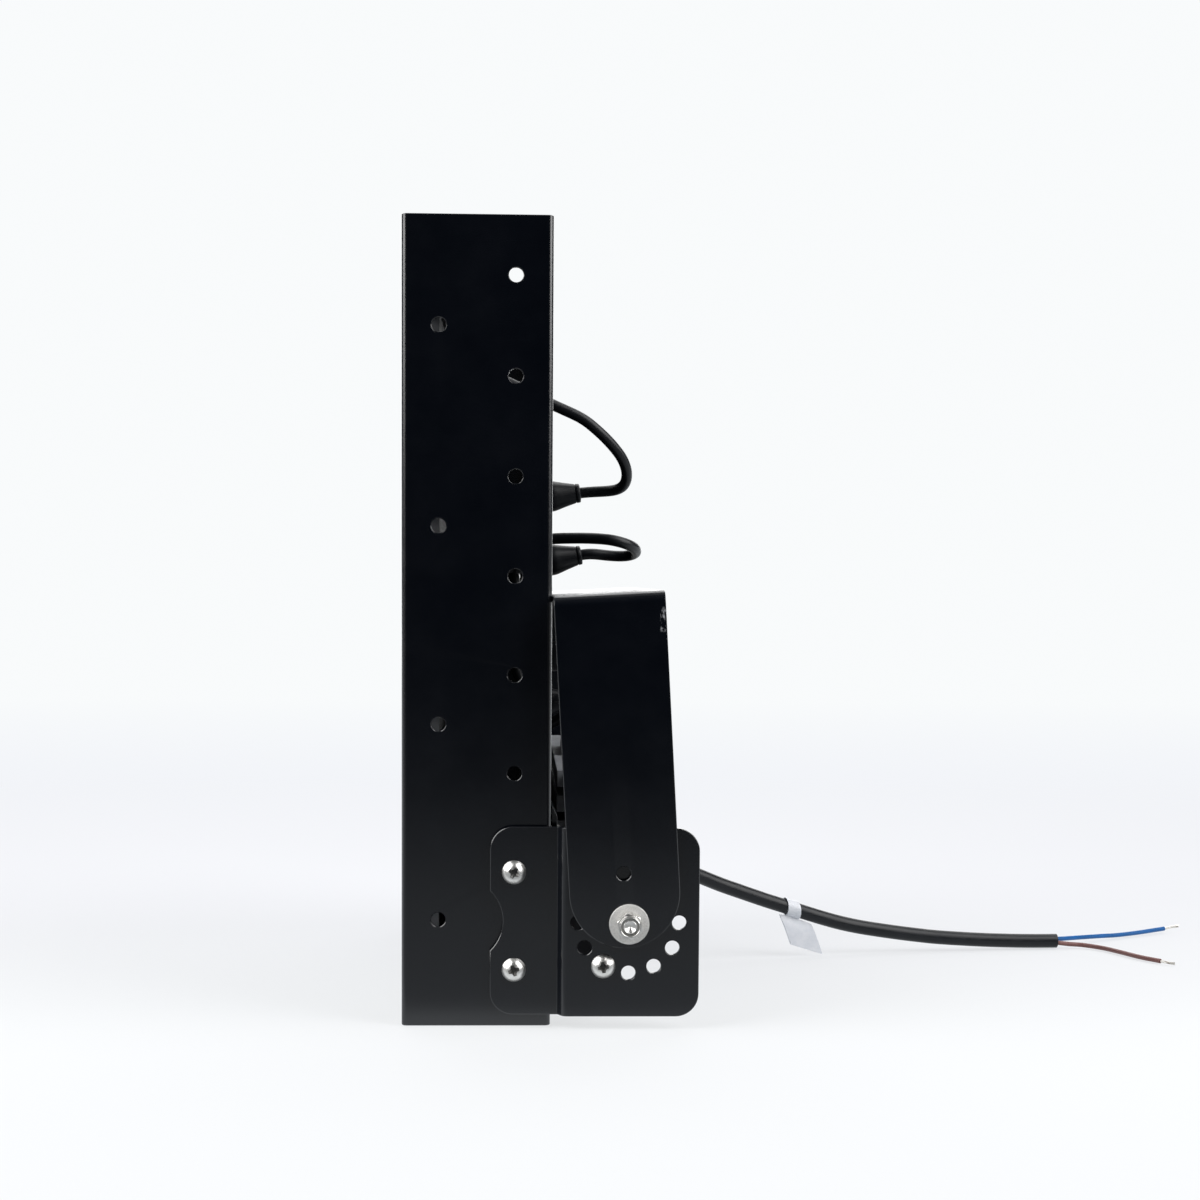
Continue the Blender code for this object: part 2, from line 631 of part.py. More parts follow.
def add_bracket_screws(name, side, lamp):
    """The screws that hold one bracket, driven into the side frame's welded nuts."""
    reach = BRACKET_SHEET + FRAME_SHEET + GAP + M5_NUT_HEIGHT + M5_END
    for place_name, (x, z) in zip(("low", "high"), rear_holes()):
        screw = bmesh.new()
        head = facing((x, side * (BRACKET_INNER + BRACKET_SHEET + GAP), z), (0.0, side, 0.0))
        add_screw(screw, head, M5_SHANK, reach, M5_HEAD, M5_HEAD_HEIGHT, ROUND)
        add_object("bracket_screw_%s_%s" % (name, place_name), screw, "stainless", lamp)


def add_lock(name, side, lamp):
    """The lock screw, stored in a hole of the arc, with its nut behind the bracket."""
    x, z = lock_places()[STORED_LOCK]
    out = (0.0, side, 0.0)
    reach = BRACKET_SHEET + 2 * GAP + M5_NUT_HEIGHT + M5_END
    screw = bmesh.new()
    add_screw(screw, facing((x, side * (STEP_OUTER + GAP), z), out),
              M5_SHANK, reach, M5_HEAD, M5_HEAD_HEIGHT, ROUND)
    add_object("lock_screw_" + name, screw, "stainless", lamp)
    nut = bmesh.new()
    add_nut(nut, facing((x, side * (STEP_INNER - GAP - M5_NUT_HEIGHT), z), out), M5_NUT, M5_HOLE, M5_NUT_HEIGHT)
    add_object("lock_nut_" + name, nut, "stainless", lamp)


def add_stop_nut(shell, place):
    """A lock nut: a hexagon with a round collar, whose mouth narrows down to the bore."""
    collar = STOP_NUT_COLLAR / 2
    rings = [
        ring(PIVOT_HOLE / 2, STOP_NUT_HEIGHT - STOP_NUT_MOUTH_DEPTH, 12),
        ring(PIVOT_HOLE / 2, 0.0, 12),
        hexagon(STOP_NUT, 0.0),
        hexagon(STOP_NUT, STOP_NUT_HEX * STOP_NUT_EDGE_SHARE),
        ring(collar, STOP_NUT_HEX, 12),
        ring(collar, STOP_NUT_HEIGHT - STOP_NUT_ROUNDING, 12),
        ring(collar - STOP_NUT_ROUNDING, STOP_NUT_HEIGHT, 12),
        ring(STOP_NUT_MOUTH / 2, STOP_NUT_HEIGHT, 12),
    ]
    add_skin(shell, rings, place, closed=True)


def add_pivot(name, side, lamp):
    """Bolt, washer and lock nut on the yoke's axis."""
    washer = ARM_OUTER + GAP
    seat = washer + WASHER_SHEET + GAP
    head = STEP_INNER - GAP - PIVOT_HEAD_HEIGHT
    reach = seat + STOP_NUT_HEIGHT - PIVOT_END_DEPTH - head
    out = (0.0, side, 0.0)
    rings = [
        [Vector((0.0, 0.0, 0.0))],
        hexagon(PIVOT_HEAD, 0.0),
        hexagon(PIVOT_HEAD, PIVOT_HEAD_HEIGHT),
        ring(PIVOT_SHANK / 2, PIVOT_HEAD_HEIGHT, 12),
        ring(PIVOT_SHANK / 2, reach, 12),
        [Vector((0.0, 0.0, reach))],
    ]
    bolt = bmesh.new()
    add_skin(bolt, rings, facing((PIVOT_X, side * head, PIVOT_Z), out))
    add_object("pivot_bolt_" + name, bolt, "stainless", lamp)
    hole = circle((PIVOT_X, PIVOT_Z), PIVOT_HOLE / 2)
    edge = circle((PIVOT_X, PIVOT_Z), WASHER / 2, 24)
    low = side * washer
    flat = plate(edge, [hole], low, low + side * WASHER_SHEET, "y")
    add_object("pivot_washer_" + name, flat, "stainless", lamp)
    nut = bmesh.new()
    add_stop_nut(nut, facing((PIVOT_X, side * seat, PIVOT_Z), out))
    add_object("pivot_nut_" + name, nut, "stainless", lamp)


def yoke_lean():
    """How far the folded yoke leans forward, until its bar meets the side frames."""
    edge = YOKE_BAR / 2 + YOKE_SHIFT
    return asin((PIVOT_BACK - GAP) / hypot(YOKE_REACH, edge)) - atan2(edge, YOKE_REACH)


def yoke_section():
    """The bent bar seen along its width, from one arm's end to the other's."""
    centre = (ARM_OUTER - YOKE_BEND, YOKE_REACH - YOKE_BEND)
    mirror = (-centre[0], centre[1])
    inner = YOKE_BEND - YOKE_SHEET
    foot = YOKE_ROUND_RISE - YOKE_BAR / 2 - OVERRUN
    outline = [(ARM_OUTER, foot)] + arc(centre, YOKE_BEND, 0, 90)
    outline += arc(mirror, YOKE_BEND, 90, 180) + [(-ARM_OUTER, foot), (-ARM_INNER, foot)]
    outline += arc(mirror, inner, 180, 90, 2) + arc(centre, inner, 90, 0, 2)
    return outline + [(ARM_INNER, foot)]


def add_yoke(pivot):
    """The yoke about its pivot, upright here: the empty that carries it leans it forward."""
    half = YOKE_BAR / 2
    low = -YOKE_SHIFT - half
    high = -YOKE_SHIFT + half
    bar = plate(yoke_section(), [], low - OVERRUN, high + OVERRUN, "x")
    yoke = add_object("yoke", bar, "black_coat", pivot)
    top = YOKE_REACH + OVERRUN
    outline = [(high, top), (low, top)] + arc((-YOKE_SHIFT, YOKE_ROUND_RISE), half, 180, 360, 16)
    wide = ARM_OUTER + OVERRUN
    cut(yoke, plate(outline, [], -wide, wide, "y"), "INTERSECT")
    holes = bmesh.new()
    add_rods(holes, [(0.0, 0.0)], PIVOT_HOLE / 2, -wide, wide, "y")
    add_rods(holes, [(-YOKE_SHIFT, LOCK_RADIUS)], LOCK_HOLE / 2, -wide, wide, "y")
    low = YOKE_REACH - YOKE_SHEET - OVERRUN
    add_rods(holes, [(-YOKE_SHIFT, 0.0)], YOKE_CENTRE_HOLE / 2, low, top, "z", 16)
    sides = [(-YOKE_SHIFT, side * YOKE_SIDE_SPACING) for side in (-1, 1)]
    add_rods(holes, sides, YOKE_SIDE_HOLE / 2, low, top, "z")
    cut(yoke, holes)


def lens_screw_places():
    """Places of one module's lens screws, from its own centre: its corners and long sides' middles."""
    y = FLANGE_TIP - LENS_END_MARGIN - GASKET_BAND / 2
    z = MODULE_HEIGHT / 2 - RIM_WIDTH - LENS_MARGIN - GASKET_BAND / 2
    return [(side * y, end * z) for side in (-1, 0, 1) for end in (-1, 1)]


def heatsink_outline(centre):
    """The extruded section: two rims and a tray in front, fins behind."""
    half = MODULE_HEIGHT / 2
    pitch = (MODULE_HEIGHT - FIN_SHEET) / (FIN_COUNT - 1)
    outline = [(RIM_X, -half)]
    for k in range(FIN_COUNT):
        low = -half + pitch * k
        if k:
            outline.append((BASE_X, low))
        outline += [(FIN_X, low), (FIN_X, low + FIN_SHEET)]
        if k < FIN_COUNT - 1:
            outline.append((BASE_X, low + FIN_SHEET))
    floor = half - RIM_WIDTH
    outline += [(RIM_X, half), (RIM_X, floor), (TRAY_X, floor), (TRAY_X, -floor), (RIM_X, -floor)]
    return [(x, centre + z) for x, z in outline]


def add_heatsink(name, centre, lamp):
    """The fins are cut away across the middle, where the leads run."""
    half = MODULE_LENGTH / 2
    heatsink = add_object(name, plate(heatsink_outline(centre), [], -half, half, "y"), "aluminium", lamp)
    cuts = bmesh.new()
    tall = MODULE_HEIGHT / 2 + OVERRUN
    channel = rectangle((-CHANNEL_WIDTH / 2, centre - tall), (CHANNEL_WIDTH / 2, centre + tall))
    add_plate(cuts, channel, [], BASE_X, FIN_X + OVERRUN, "x")
    screws = [(y, centre + z) for y, z in lens_screw_places()]
    add_rods(cuts, screws, M3_HOLE / 2, TRAY_X - OVERRUN, TRAY_X + LENS_SCREW_DEPTH, "x", THREAD_SIDES)
    rise = (MODULE_HEIGHT - RIM_WIDTH) / 2
    across = (FLANGE_TIP + FRAME_INSIDE) / 2
    rims = [(side * across, centre + end * rise) for side in (-1, 1) for end in (-1, 1)]
    deep = RIM_X + MODULE_SCREW_DEPTH + GAP
    add_rods(cuts, rims, M4_HOLE / 2, RIM_X - OVERRUN, deep, "x", THREAD_SIDES)
    cut(heatsink, cuts)


def add_lens_plate(name, centre, lamp):
    """A clear plate whose front carries two rows of domes."""
    half_y = FLANGE_TIP - LENS_END_MARGIN
    half_z = MODULE_HEIGHT / 2 - RIM_WIDTH - LENS_MARGIN
    outline = rectangle((-half_y, centre - half_z), (half_y, centre + half_z))
    holes = [circle((y, centre + z), M3_HOLE / 2, THREAD_SIDES) for y, z in lens_screw_places()]
    middle = (DOME_COLUMNS - 1) / 2
    spots = [(DOME_PITCH * (k - middle), centre + side * DOME_ROW_SPACING / 2)
             for k in range(DOME_COLUMNS) for side in (-1, 1)]
    feet = [circle(spot, DOME_RADIUS, SMALL_ROUND) for spot in spots]
    shell = bmesh.new()
    add_face_with_domes(shell, outline, holes, feet, spots)
    add_object(name, shell, "clear_plastic", lamp)


def add_face_with_domes(shell, outline, holes, feet, spots):
    """Front with domes, back without, and walls between them, all sharing their edges."""
    front = LENS_X
    back = LENS_X + LENS_SHEET
    loops = [outline] + holes
    front_loops = [[shell.verts.new((front, y, z)) for y, z in loop] for loop in loops + feet]
    back_loops = [[shell.verts.new((back, y, z)) for y, z in loop] for loop in loops]
    for verts in (front_loops, back_loops):
        flat = [[Vector((vert.co.y, vert.co.z, 0.0)) for vert in loop] for loop in verts]
        every = [vert for loop in verts for vert in loop]
        for a, b, c in tessellate_polygon(flat):
            shell.faces.new((every[a], every[b], every[c]))
    for low, high in zip(front_loops, back_loops):
        for k in range(len(low)):
            following = (k + 1) % len(low)
            shell.faces.new((low[k], low[following], high[following], high[k]))
    for foot, (y, z) in zip(front_loops[len(loops):], spots):
        crown = []
        for vert in foot:
            offset = Vector((0.0, vert.co.y - y, vert.co.z - z)) * DOME_CROWN_SHARES[0]
            crown.append(shell.verts.new(Vector((front - DOME_HEIGHT * DOME_CROWN_SHARES[1], y, z)) + offset))
        pole = shell.verts.new((front - DOME_HEIGHT, y, z))
        for k in range(len(foot)):
            following = (k + 1) % len(foot)
            shell.faces.new((foot[k], foot[following], crown[following], crown[k]))
            shell.faces.new((crown[k], crown[following], pole))


def add_gasket_and_board(index, centre, lamp):
    """A gasket ring under the lens plate, with the LED board inside it."""
    half_y = FLANGE_TIP - LENS_END_MARGIN
    half_z = MODULE_HEIGHT / 2 - RIM_WIDTH - LENS_MARGIN
    outline = rectangle((-half_y, centre - half_z), (half_y, centre + half_z))
    inner_y = half_y - GASKET_BAND
    inner_z = half_z - GASKET_BAND
    window = rectangle((-inner_y, centre - inner_z), (inner_y, centre + inner_z))
    holes = [circle((y, centre + z), M3_HOLE / 2, THREAD_SIDES) for y, z in lens_screw_places()]
    gasket = plate(outline, [window] + holes, GASKET_X, GASKET_X + GASKET_SHEET, "x")
    add_object("lens_gasket_%d" % index, gasket, "silicone", lamp)
    inner_y -= GAP
    inner_z -= GAP
    board = rectangle((-inner_y, centre - inner_z), (inner_y, centre + inner_z))
    back = TRAY_X - GAP
    add_object("led_board_%d" % index, plate(board, [], back - BOARD_SHEET, back, "x"), "board", lamp)


def add_gland(shell, place, hex_across, hex_height, neck, height, mouth):
    """A cable gland: hexagon, neck and a rounded clamping nut that ends at the cable."""
    rings = [
        [Vector((0.0, 0.0, 0.0))],
        hexagon(hex_across, 0.0),
        hexagon(hex_across, hex_height),
        ring(neck / 2, hex_height, 12),
        ring(neck / 2, height * GLAND_SHOULDER_SHARE, 12),
        ring(mouth / 2 * GLAND_MOUTH_SHARE, height, 12),
        [Vector((0.0, 0.0, height))],
    ]
    add_skin(shell, rings, place)


def add_cable(name, route, before, after, lamp):
    """A lead with what is moulded on its ends, each given as pairs of distance and radius."""
    points = smooth_points(route, LEAD_STEP)
    start = (Vector(route[0]) - Vector(route[1])).normalized()
    end = (Vector(route[-1]) - Vector(route[-2])).normalized()
    line = [points[0] + start * away for away, radius in before[::-1]]
    line += points + [points[-1] + end * away for away, radius in after]
    radii = [radius for away, radius in before[::-1]]
    radii += [LEAD / 2] * len(points) + [radius for away, radius in after]
    shell = bmesh.new()
    rings = []
    across = Vector((0.0, 1.0, 0.0))
    for k, (point, radius) in enumerate(zip(line, radii)):
        way = (line[min(k + 1, len(line) - 1)] - line[max(k - 1, 0)]).normalized()
        if k <= len(before):
            way = -start
        if k >= len(line) - len(after) - 1:
            way = end
        across = (across - way * across.dot(way)).normalized()
        over = way.cross(across)
        steps = [2 * pi * step / ROUND for step in range(ROUND)]
        rings.append([point + across * radius * cos(a) + over * radius * sin(a) for a in steps])
    add_skin(shell, [[line[0]]] + rings + [[line[-1]]], Matrix.Identity(4))
    add_object(name, shell, "black_rubber", lamp)


def moulding(length, wide, shares):
    """Pairs of distance and radius along a plug or a socket, which starts with a slim tail."""
    tail = [(GAP, PLUG_TAIL / 2)]
    return tail + [(length * along, wide / 2 * across) for along, across in shares]


def add_module_leads(lamp):
    """Each module's gland, its lead with the plug, and the lead with the socket that goes on to the driver."""
    routes = [BOTTOM_LEAD_ROUTE, LOWER_LEAD_ROUTE, UPPER_LEAD_ROUTE, TOP_LEAD_ROUTE]
    onward = [BOTTOM_DRIVER_ROUTE, LOWER_DRIVER_ROUTE, UPPER_DRIVER_ROUTE, TOP_DRIVER_ROUTE]
    for index in range(MODULE_COUNT):
        number = index + 1
        gland = bmesh.new()
        place = facing((BASE_X + GAP, GLAND_Y, module_height(index) - GLAND_DROP), (1.0, 0.0, 0.0))
        add_gland(gland, place, GLAND_HEX, GLAND_HEX_HEIGHT, GLAND_NECK, GLAND_HEIGHT, LEAD)
        add_object("module_gland_%d" % number, gland, "black_plastic", lamp)
        plug = moulding(PLUG_LENGTH, PLUG_WIDE, PLUG_SHARES)
        socket = moulding(SOCKET_LENGTH, SOCKET_WIDE, SOCKET_SHARES)
        add_cable("module_lead_%d" % number, routes[index], [], plug, lamp)
        add_cable("driver_lead_%d" % number, onward[index], socket, [], lamp)


def driver_outline():
    """The ribbed case seen from its end."""
    low = DRIVER_X + RIB_DEPTH
    high = low + DRIVER_CORE
    front = []
    back = []
    for k in range(DRIVER_RIBS):
        foot = DRIVER_BOTTOM + RIB_PITCH * k
        top = foot + RIB_WIDTH
        front += [(DRIVER_X, foot), (DRIVER_X, top)]
        back += [(DRIVER_BACK, foot), (DRIVER_BACK, top)]
        if k < DRIVER_RIBS - 1:
            front += [(low, top), (low, top + RIB_PITCH - RIB_WIDTH)]
            back += [(high, top), (high, top + RIB_PITCH - RIB_WIDTH)]
    return front + back[::-1]


def driver_screw_places():
    across = DRIVER_LENGTH / 2 - DRIVER_SCREW_INSET
    low = DRIVER_BOTTOM + RIB_PITCH + RIB_WIDTH / 2
    high = DRIVER_BOTTOM + RIB_PITCH * (DRIVER_RIBS - 3) + RIB_WIDTH / 2
    return [(side * across, z) for side in (-1, 1) for z in (low, high)]


def add_driver(lamp):
    """Ribbed case, potted electronics and end caps."""
    half = DRIVER_LENGTH / 2
    low = DRIVER_X + RIB_DEPTH
    wall = low + DRIVER_WALL
    far_wall = low + DRIVER_CORE - DRIVER_WALL
    floor = DRIVER_BOTTOM + DRIVER_END_WALL
    roof = DRIVER_TOP - DRIVER_END_WALL
    hollow = rectangle((wall, floor), (far_wall, roof))
    case = add_object("driver_case", plate(driver_outline(), [hollow], -half, half, "y"), "grey_cast", lamp)
    holes = bmesh.new()
    deep = DRIVER_X + RIB_DEPTH + DRIVER_WALL - GAP
    add_rods(holes, driver_screw_places(), M4_HOLE / 2, DRIVER_X - OVERRUN, deep, "x", SMALL_ROUND)
    cut(case, holes)
    potting = rectangle((wall + GAP, floor + GAP), (far_wall - GAP, roof - GAP))
    add_object("driver_board", plate(potting, [], GAP - half, half - GAP, "y"), "potting", lamp)
    foot = DRIVER_BOTTOM + DRIVER_CAP_MARGIN
    cap = rectangle((low, foot), (low + DRIVER_CORE, DRIVER_TOP - DRIVER_CAP_MARGIN))
    for name, side in (("driver_cap_left", -1), ("driver_cap_right", 1)):
        start = side * (half + GAP)
        add_object(name, plate(cap, [], start, start + side * DRIVER_CAP, "y"), "black_plastic", lamp)


def add_driver_plate(lamp):
    """The sheet across both side frames that carries the driver, chamfered along its top."""
    half = FRAME_SIDE - PLATE_SIDE_MARGIN
    back = PLATE_X + PLATE_SHEET
    section = [(PLATE_X, PLATE_BOTTOM), (back, PLATE_BOTTOM)]
    section += [(back, PLATE_TOP - PLATE_CHAMFER), (PLATE_X, PLATE_TOP)]
    sheet = add_object("driver_plate", plate(section, [], -half, half, "y"), "black_coat", lamp)
    places = [(side * y, z) for side in (-1, 1) for y, z in plate_screw_places()]
    places += driver_screw_places()
    holes = bmesh.new()
    add_rods(holes, places, M4_HOLE / 2, PLATE_X - OVERRUN, back + OVERRUN, "x", SMALL_ROUND)
    cut(sheet, holes)


def add_driver_glands(lamp):
    """Four glands moulded in one strip on the driver's top, and the supply cord's gland on its back."""
    foot = DRIVER_TOP + GAP
    low = DRIVER_MID - GLAND_HEX / 2
    spread = DRIVER_GLAND_PITCH * (MODULE_COUNT - 1) / 2
    strip = rectangle((low, -spread - GLAND_HEX / 2), (low + GLAND_HEX, spread + GLAND_HEX / 2))
    base = plate(strip, [], foot, foot + GLAND_HEX_HEIGHT, "z")
    glands = add_object("driver_glands", base, "black_plastic", lamp)
    necks = bmesh.new()
    for k in range(MODULE_COUNT):
        place = facing((DRIVER_MID, DRIVER_GLAND_PITCH * k - spread, foot), (0.0, 0.0, 1.0))
        neck = GLAND_NECK / 2
        rings = [
            [Vector((0.0, 0.0, GLAND_HEX_HEIGHT / 2))],
            ring(neck, GLAND_HEX_HEIGHT / 2, 12),
            ring(neck, DRIVER_GLAND_HEIGHT * GLAND_SHOULDER_SHARE, 12),
            ring(LEAD / 2 * GLAND_MOUTH_SHARE, DRIVER_GLAND_HEIGHT, 12),
            [Vector((0.0, 0.0, DRIVER_GLAND_HEIGHT))],
        ]
        add_skin(necks, rings, place)
    cut(glands, necks, "UNION")
    supply = bmesh.new()
    place = facing((DRIVER_BACK + GAP, SUPPLY_GLAND_Y, SUPPLY_GLAND_Z), (1.0, 0.0, 0.0))
    length = SUPPLY_GLAND_LENGTH
    wide = SUPPLY_GLAND_HEX / 2 * SUPPLY_GLAND_NUT_SHARE
    rings = [
        [Vector((0.0, 0.0, 0.0))],
        hexagon(SUPPLY_GLAND_HEX, 0.0),
        hexagon(SUPPLY_GLAND_HEX, SUPPLY_GLAND_HEX_HEIGHT),
        ring(wide, SUPPLY_GLAND_HEX_HEIGHT, 12),
        *[ring(wide * across, length * along, 12) for along, across in SUPPLY_GLAND_SHARES],
        ring(CORD / 2 + 2 * GAP, length, 12),
        [Vector((0.0, 0.0, length))],
    ]
    add_skin(supply, rings, place)
    add_object("supply_gland", supply, "black_plastic", lamp)


def add_tag(lamp):
    """A label folded round the cord, its two ends stuck together as a bare flag."""
    here = Vector(CORD_ROUTE[TAG_POINT])
    along = Vector(CORD_ROUTE[TAG_POINT + 1]) - Vector(CORD_ROUTE[TAG_POINT - 1])
    along.normalize()
    side = along.cross(Vector((0.0, 0.0, 1.0))).normalized()
    up = side.cross(along)
    inner = CORD / 2 + GAP
    outer = inner + TAG_SHEET
    foot = -outer - TAG_DROP
    opening = 180 * asin(TAG_SHEET / outer) / pi
    outline = arc((0.0, 0.0), outer, -90 + opening, 270 - opening, 20)
    shoulder = -outer - TAG_SHEET
    outline += [(-TAG_SHEET, shoulder), (-TAG_SHEET, foot), (TAG_SHEET, foot), (TAG_SHEET, shoulder)]
    shell = plate(outline, [circle((0.0, 0.0), inner)], -TAG_BAND / 2, TAG_BAND / 2, "z")
    tilt = Matrix.Rotation(radians(TAG_TILT), 4, "Z")
    for vert in shell.verts:
        drop = max(-outer - vert.co.y, 0.0)
        if drop > 0.0:
            vert.co.z = vert.co.z * TAG_WIDTH / TAG_BAND + TAG_OFFSET
        vert.co.z += drop * TAG_SHEAR_SHARE - max(vert.co.y, -outer) * BAND_SHEAR_SHARE
        vert.co = tilt @ vert.co
        vert.co = here + side * vert.co.x + up * vert.co.y + along * vert.co.z
    add_object("cord_tag", shell, "white_label", lamp)


def add_supply_cord(lamp):
    tube("supply_cord", CORD_ROUTE, CORD, CORD_STEP, "black_rubber", lamp, 4)
    tube("blue_core", BLUE_ROUTE, CORE, CORE_STEP, "blue_core", lamp, bare=BLUE_TIP_ROUTE)
    tube("brown_core", BROWN_ROUTE, CORE, CORE_STEP, "brown_core", lamp, bare=BROWN_TIP_ROUTE)
    add_tag(lamp)


def build():
    clear_scene()
    lamp = empty("lamp", (-BRACKET_BACK / 2, 0.0, 0.0))
    for name, side in (("left", -1), ("right", 1)):
        add_side_frame("side_frame_" + name, side, lamp)
        add_bracket("bracket_" + name, side, lamp)
        add_bracket_screws(name, side, lamp)
        add_lock(name, side, lamp)
        add_pivot(name, side, lamp)
    add_yoke(empty("yoke_pivot", (PIVOT_X, 0.0, PIVOT_Z), lamp, -yoke_lean()))
    for index in range(MODULE_COUNT):
        centre = module_height(index)
        add_heatsink("heatsink_%d" % (index + 1), centre, lamp)
        add_gasket_and_board(index + 1, centre, lamp)
        add_lens_plate("lens_plate_%d" % (index + 1), centre, lamp)
    add_module_leads(lamp)
    add_driver(lamp)
    add_driver_plate(lamp)
    add_driver_glands(lamp)
    add_supply_cord(lamp)


build()
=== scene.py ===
"""Looks of the LED flood light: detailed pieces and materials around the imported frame, in metres."""

from math import asin, atan2, ceil, cos, hypot, pi, radians, sin

import bmesh
import bpy
from mathutils import Matrix, Vector
from mathutils.geometry import tessellate_polygon


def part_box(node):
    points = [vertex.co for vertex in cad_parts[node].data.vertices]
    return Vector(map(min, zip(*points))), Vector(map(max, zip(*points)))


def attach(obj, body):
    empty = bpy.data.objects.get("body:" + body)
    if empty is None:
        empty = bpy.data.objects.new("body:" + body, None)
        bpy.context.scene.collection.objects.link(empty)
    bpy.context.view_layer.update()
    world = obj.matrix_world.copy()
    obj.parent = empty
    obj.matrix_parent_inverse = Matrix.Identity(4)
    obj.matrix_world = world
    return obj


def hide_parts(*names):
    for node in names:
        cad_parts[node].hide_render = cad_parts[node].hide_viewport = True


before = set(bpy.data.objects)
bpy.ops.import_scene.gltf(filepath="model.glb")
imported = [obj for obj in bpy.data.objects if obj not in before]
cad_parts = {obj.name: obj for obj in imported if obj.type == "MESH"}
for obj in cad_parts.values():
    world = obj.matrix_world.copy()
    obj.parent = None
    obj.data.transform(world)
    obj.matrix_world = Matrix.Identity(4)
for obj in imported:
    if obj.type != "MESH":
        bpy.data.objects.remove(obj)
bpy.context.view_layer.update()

# Places read from the frame
FRAME_LOW, FRAME_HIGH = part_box("side_frame_right")
BRACKET_LOW, BRACKET_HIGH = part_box("bracket_right")
HEATSINK_LOW, HEATSINK_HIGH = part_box("heatsink_1")
LENS_LOW, LENS_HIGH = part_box("lens_plate_1")
CASE_LOW, CASE_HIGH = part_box("driver_case")
PLATE_LOW, PLATE_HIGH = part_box("driver_plate")
WASHER_LOW, WASHER_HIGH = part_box("pivot_washer_right")
BOLT_LOW, BOLT_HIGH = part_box("pivot_bolt_right")
NUT_LOW, NUT_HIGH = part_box("pivot_nut_right")
SINK_HALF = HEATSINK_HIGH.y
FRONT = FRAME_LOW.x
FRAME_SIDE = FRAME_HIGH.y
FRAME_HEIGHT = FRAME_HIGH.z
FRAME_DEPTH = FRAME_HIGH.x - FRAME_LOW.x
PIVOT_X = (WASHER_LOW.x + WASHER_HIGH.x) / 2 - FRONT
PIVOT_Z = (WASHER_LOW.z + WASHER_HIGH.z) / 2

# Shared by all pieces
GAP = 0.0003
EDGE = 0.0003
MERGE = 1e-7
FOLD_STEP = 11.25
FORWARD = (-1.0, 0.0, 0.0)
BACKWARD = (1.0, 0.0, 0.0)
POLE = [[(0.0, 0.0, 0.0)]]

# Sheet metal
SHEET = 0.002
BEND = 0.0025
FLANGE = 0.015
SPARE_HOLE = 0.0063
HOLE_EDGE = 0.016
REAR_HOLE_X = FRAME_DEPTH - HOLE_EDGE
MODULE_COUNT = 4
MODULES = range(1, MODULE_COUNT + 1)
MODULE_PITCH = 0.0855
HOLE_PITCH = MODULE_PITCH / 2
END_MARGIN = 0.004
RIM_WIDTH = 0.007
PLATE_SCREW_RISE = 0.013
BRACKET_SHEET = 0.003
BRACKET_CORNER = 0.010
STEP_START = 0.0026
STEP_DEPTH = 0.005
STEP_BEND = 0.002
STEP_TURN = 65
NOTCH_HEIGHT = 0.0262
NOTCH_DEPTH = 0.0056
LOCK_RADIUS = 0.022
LOCK_STEP = 30
LOCK_HOLES = 7
STORED_LOCK = 4
YOKE_BAR = 0.048
YOKE_SHEET = 0.003
YOKE_REACH = 0.143
YOKE_BEND = 0.005
YOKE_SHIFT = 0.0012
YOKE_ROUND_RISE = 0.0135
YOKE_CENTRE_HOLE = 0.013
YOKE_SIDE_HOLE = 0.009
YOKE_SIDE_SPACING = 0.070
BRACKET_FACE = FRAME_SIDE + GAP + BRACKET_SHEET + GAP
STEPPED_FACE = FRAME_SIDE + GAP + STEP_DEPTH + BRACKET_SHEET + GAP
ARM_OUTER = STEPPED_FACE + YOKE_SHEET
BRACKET_SCREW_HOLE = 0.0055
PLATE_SCREW_HOLE = 0.0044
PIVOT_HOLE = 0.0066

# Fasteners; a recess has its width, depth and arm
SCREW_HEAD = 0.0105
SCREW_RISE = 0.0036
SMALL_HEAD = 0.0076
SMALL_RISE = 0.0024
LENS_HEAD = 0.0056
LENS_RISE = 0.0016
HEX_ACROSS = 0.010
HEX_CORNER = HEX_ACROSS / 2 / cos(pi / 6)
M5_NUT = 0.008
M5_NUT_CORNER = 0.0048
THREAD_PITCH = 0.0008
THREAD_ROOT = 0.0021
THREAD_CREST = 0.00245
COLLAR_SHARE = 0.92
BOLT_RADIUS = 0.003
NUT_BORE = 0.00305
HEX_RISE = 0.004
WASHER_EDGE = 0.0001
NUT_TURN = 12
M5_RECESS = (0.0054, 0.0020, 0.0016)
M4_RECESS = (0.0037, 0.0013, 0.0013)
M3_RECESS = (0.0028, 0.0009, 0.0010)
CAP_SCREW_SHARE = 0.40
CAP_SCREW_SINK = 0.0012
FLUSH_SINK = 0.0001

# Leads and cord
LEAD = 0.0054
CORD = 0.0075
CORE = 0.0024
TIP = 0.0015
STRANDS = 7
STRAND = TIP * 0.17
STRAND_TWIST = 4.5
STRAND_SPREAD = 0.35
PLUG_LENGTH = 0.0172
SOCKET_LENGTH = 0.0174
CONNECTOR = 0.0152
CORD_STEP = 0.003
CORE_STEP = 0.0012
LEAD_STEP = 0.0009
TIP_STEP = 0.0004
LEAD_ROUNDS = 16
LEAD_SIDES = 28
PLUG = [  # (share of the length, share of the radius)
    (0.0, 0.54), (0.010, 0.59), (0.025, 0.615), (0.105, 0.63), (0.118, 0.62), (0.124, 0.59), (0.138, 0.59),
    (0.146, 0.63), (0.30, 0.71), (0.50, 0.82), (0.68, 0.93), (0.74, 0.965), (0.80, 0.99), (0.86, 1.0),
    (0.97, 1.0), (1.0, 0.98),
]
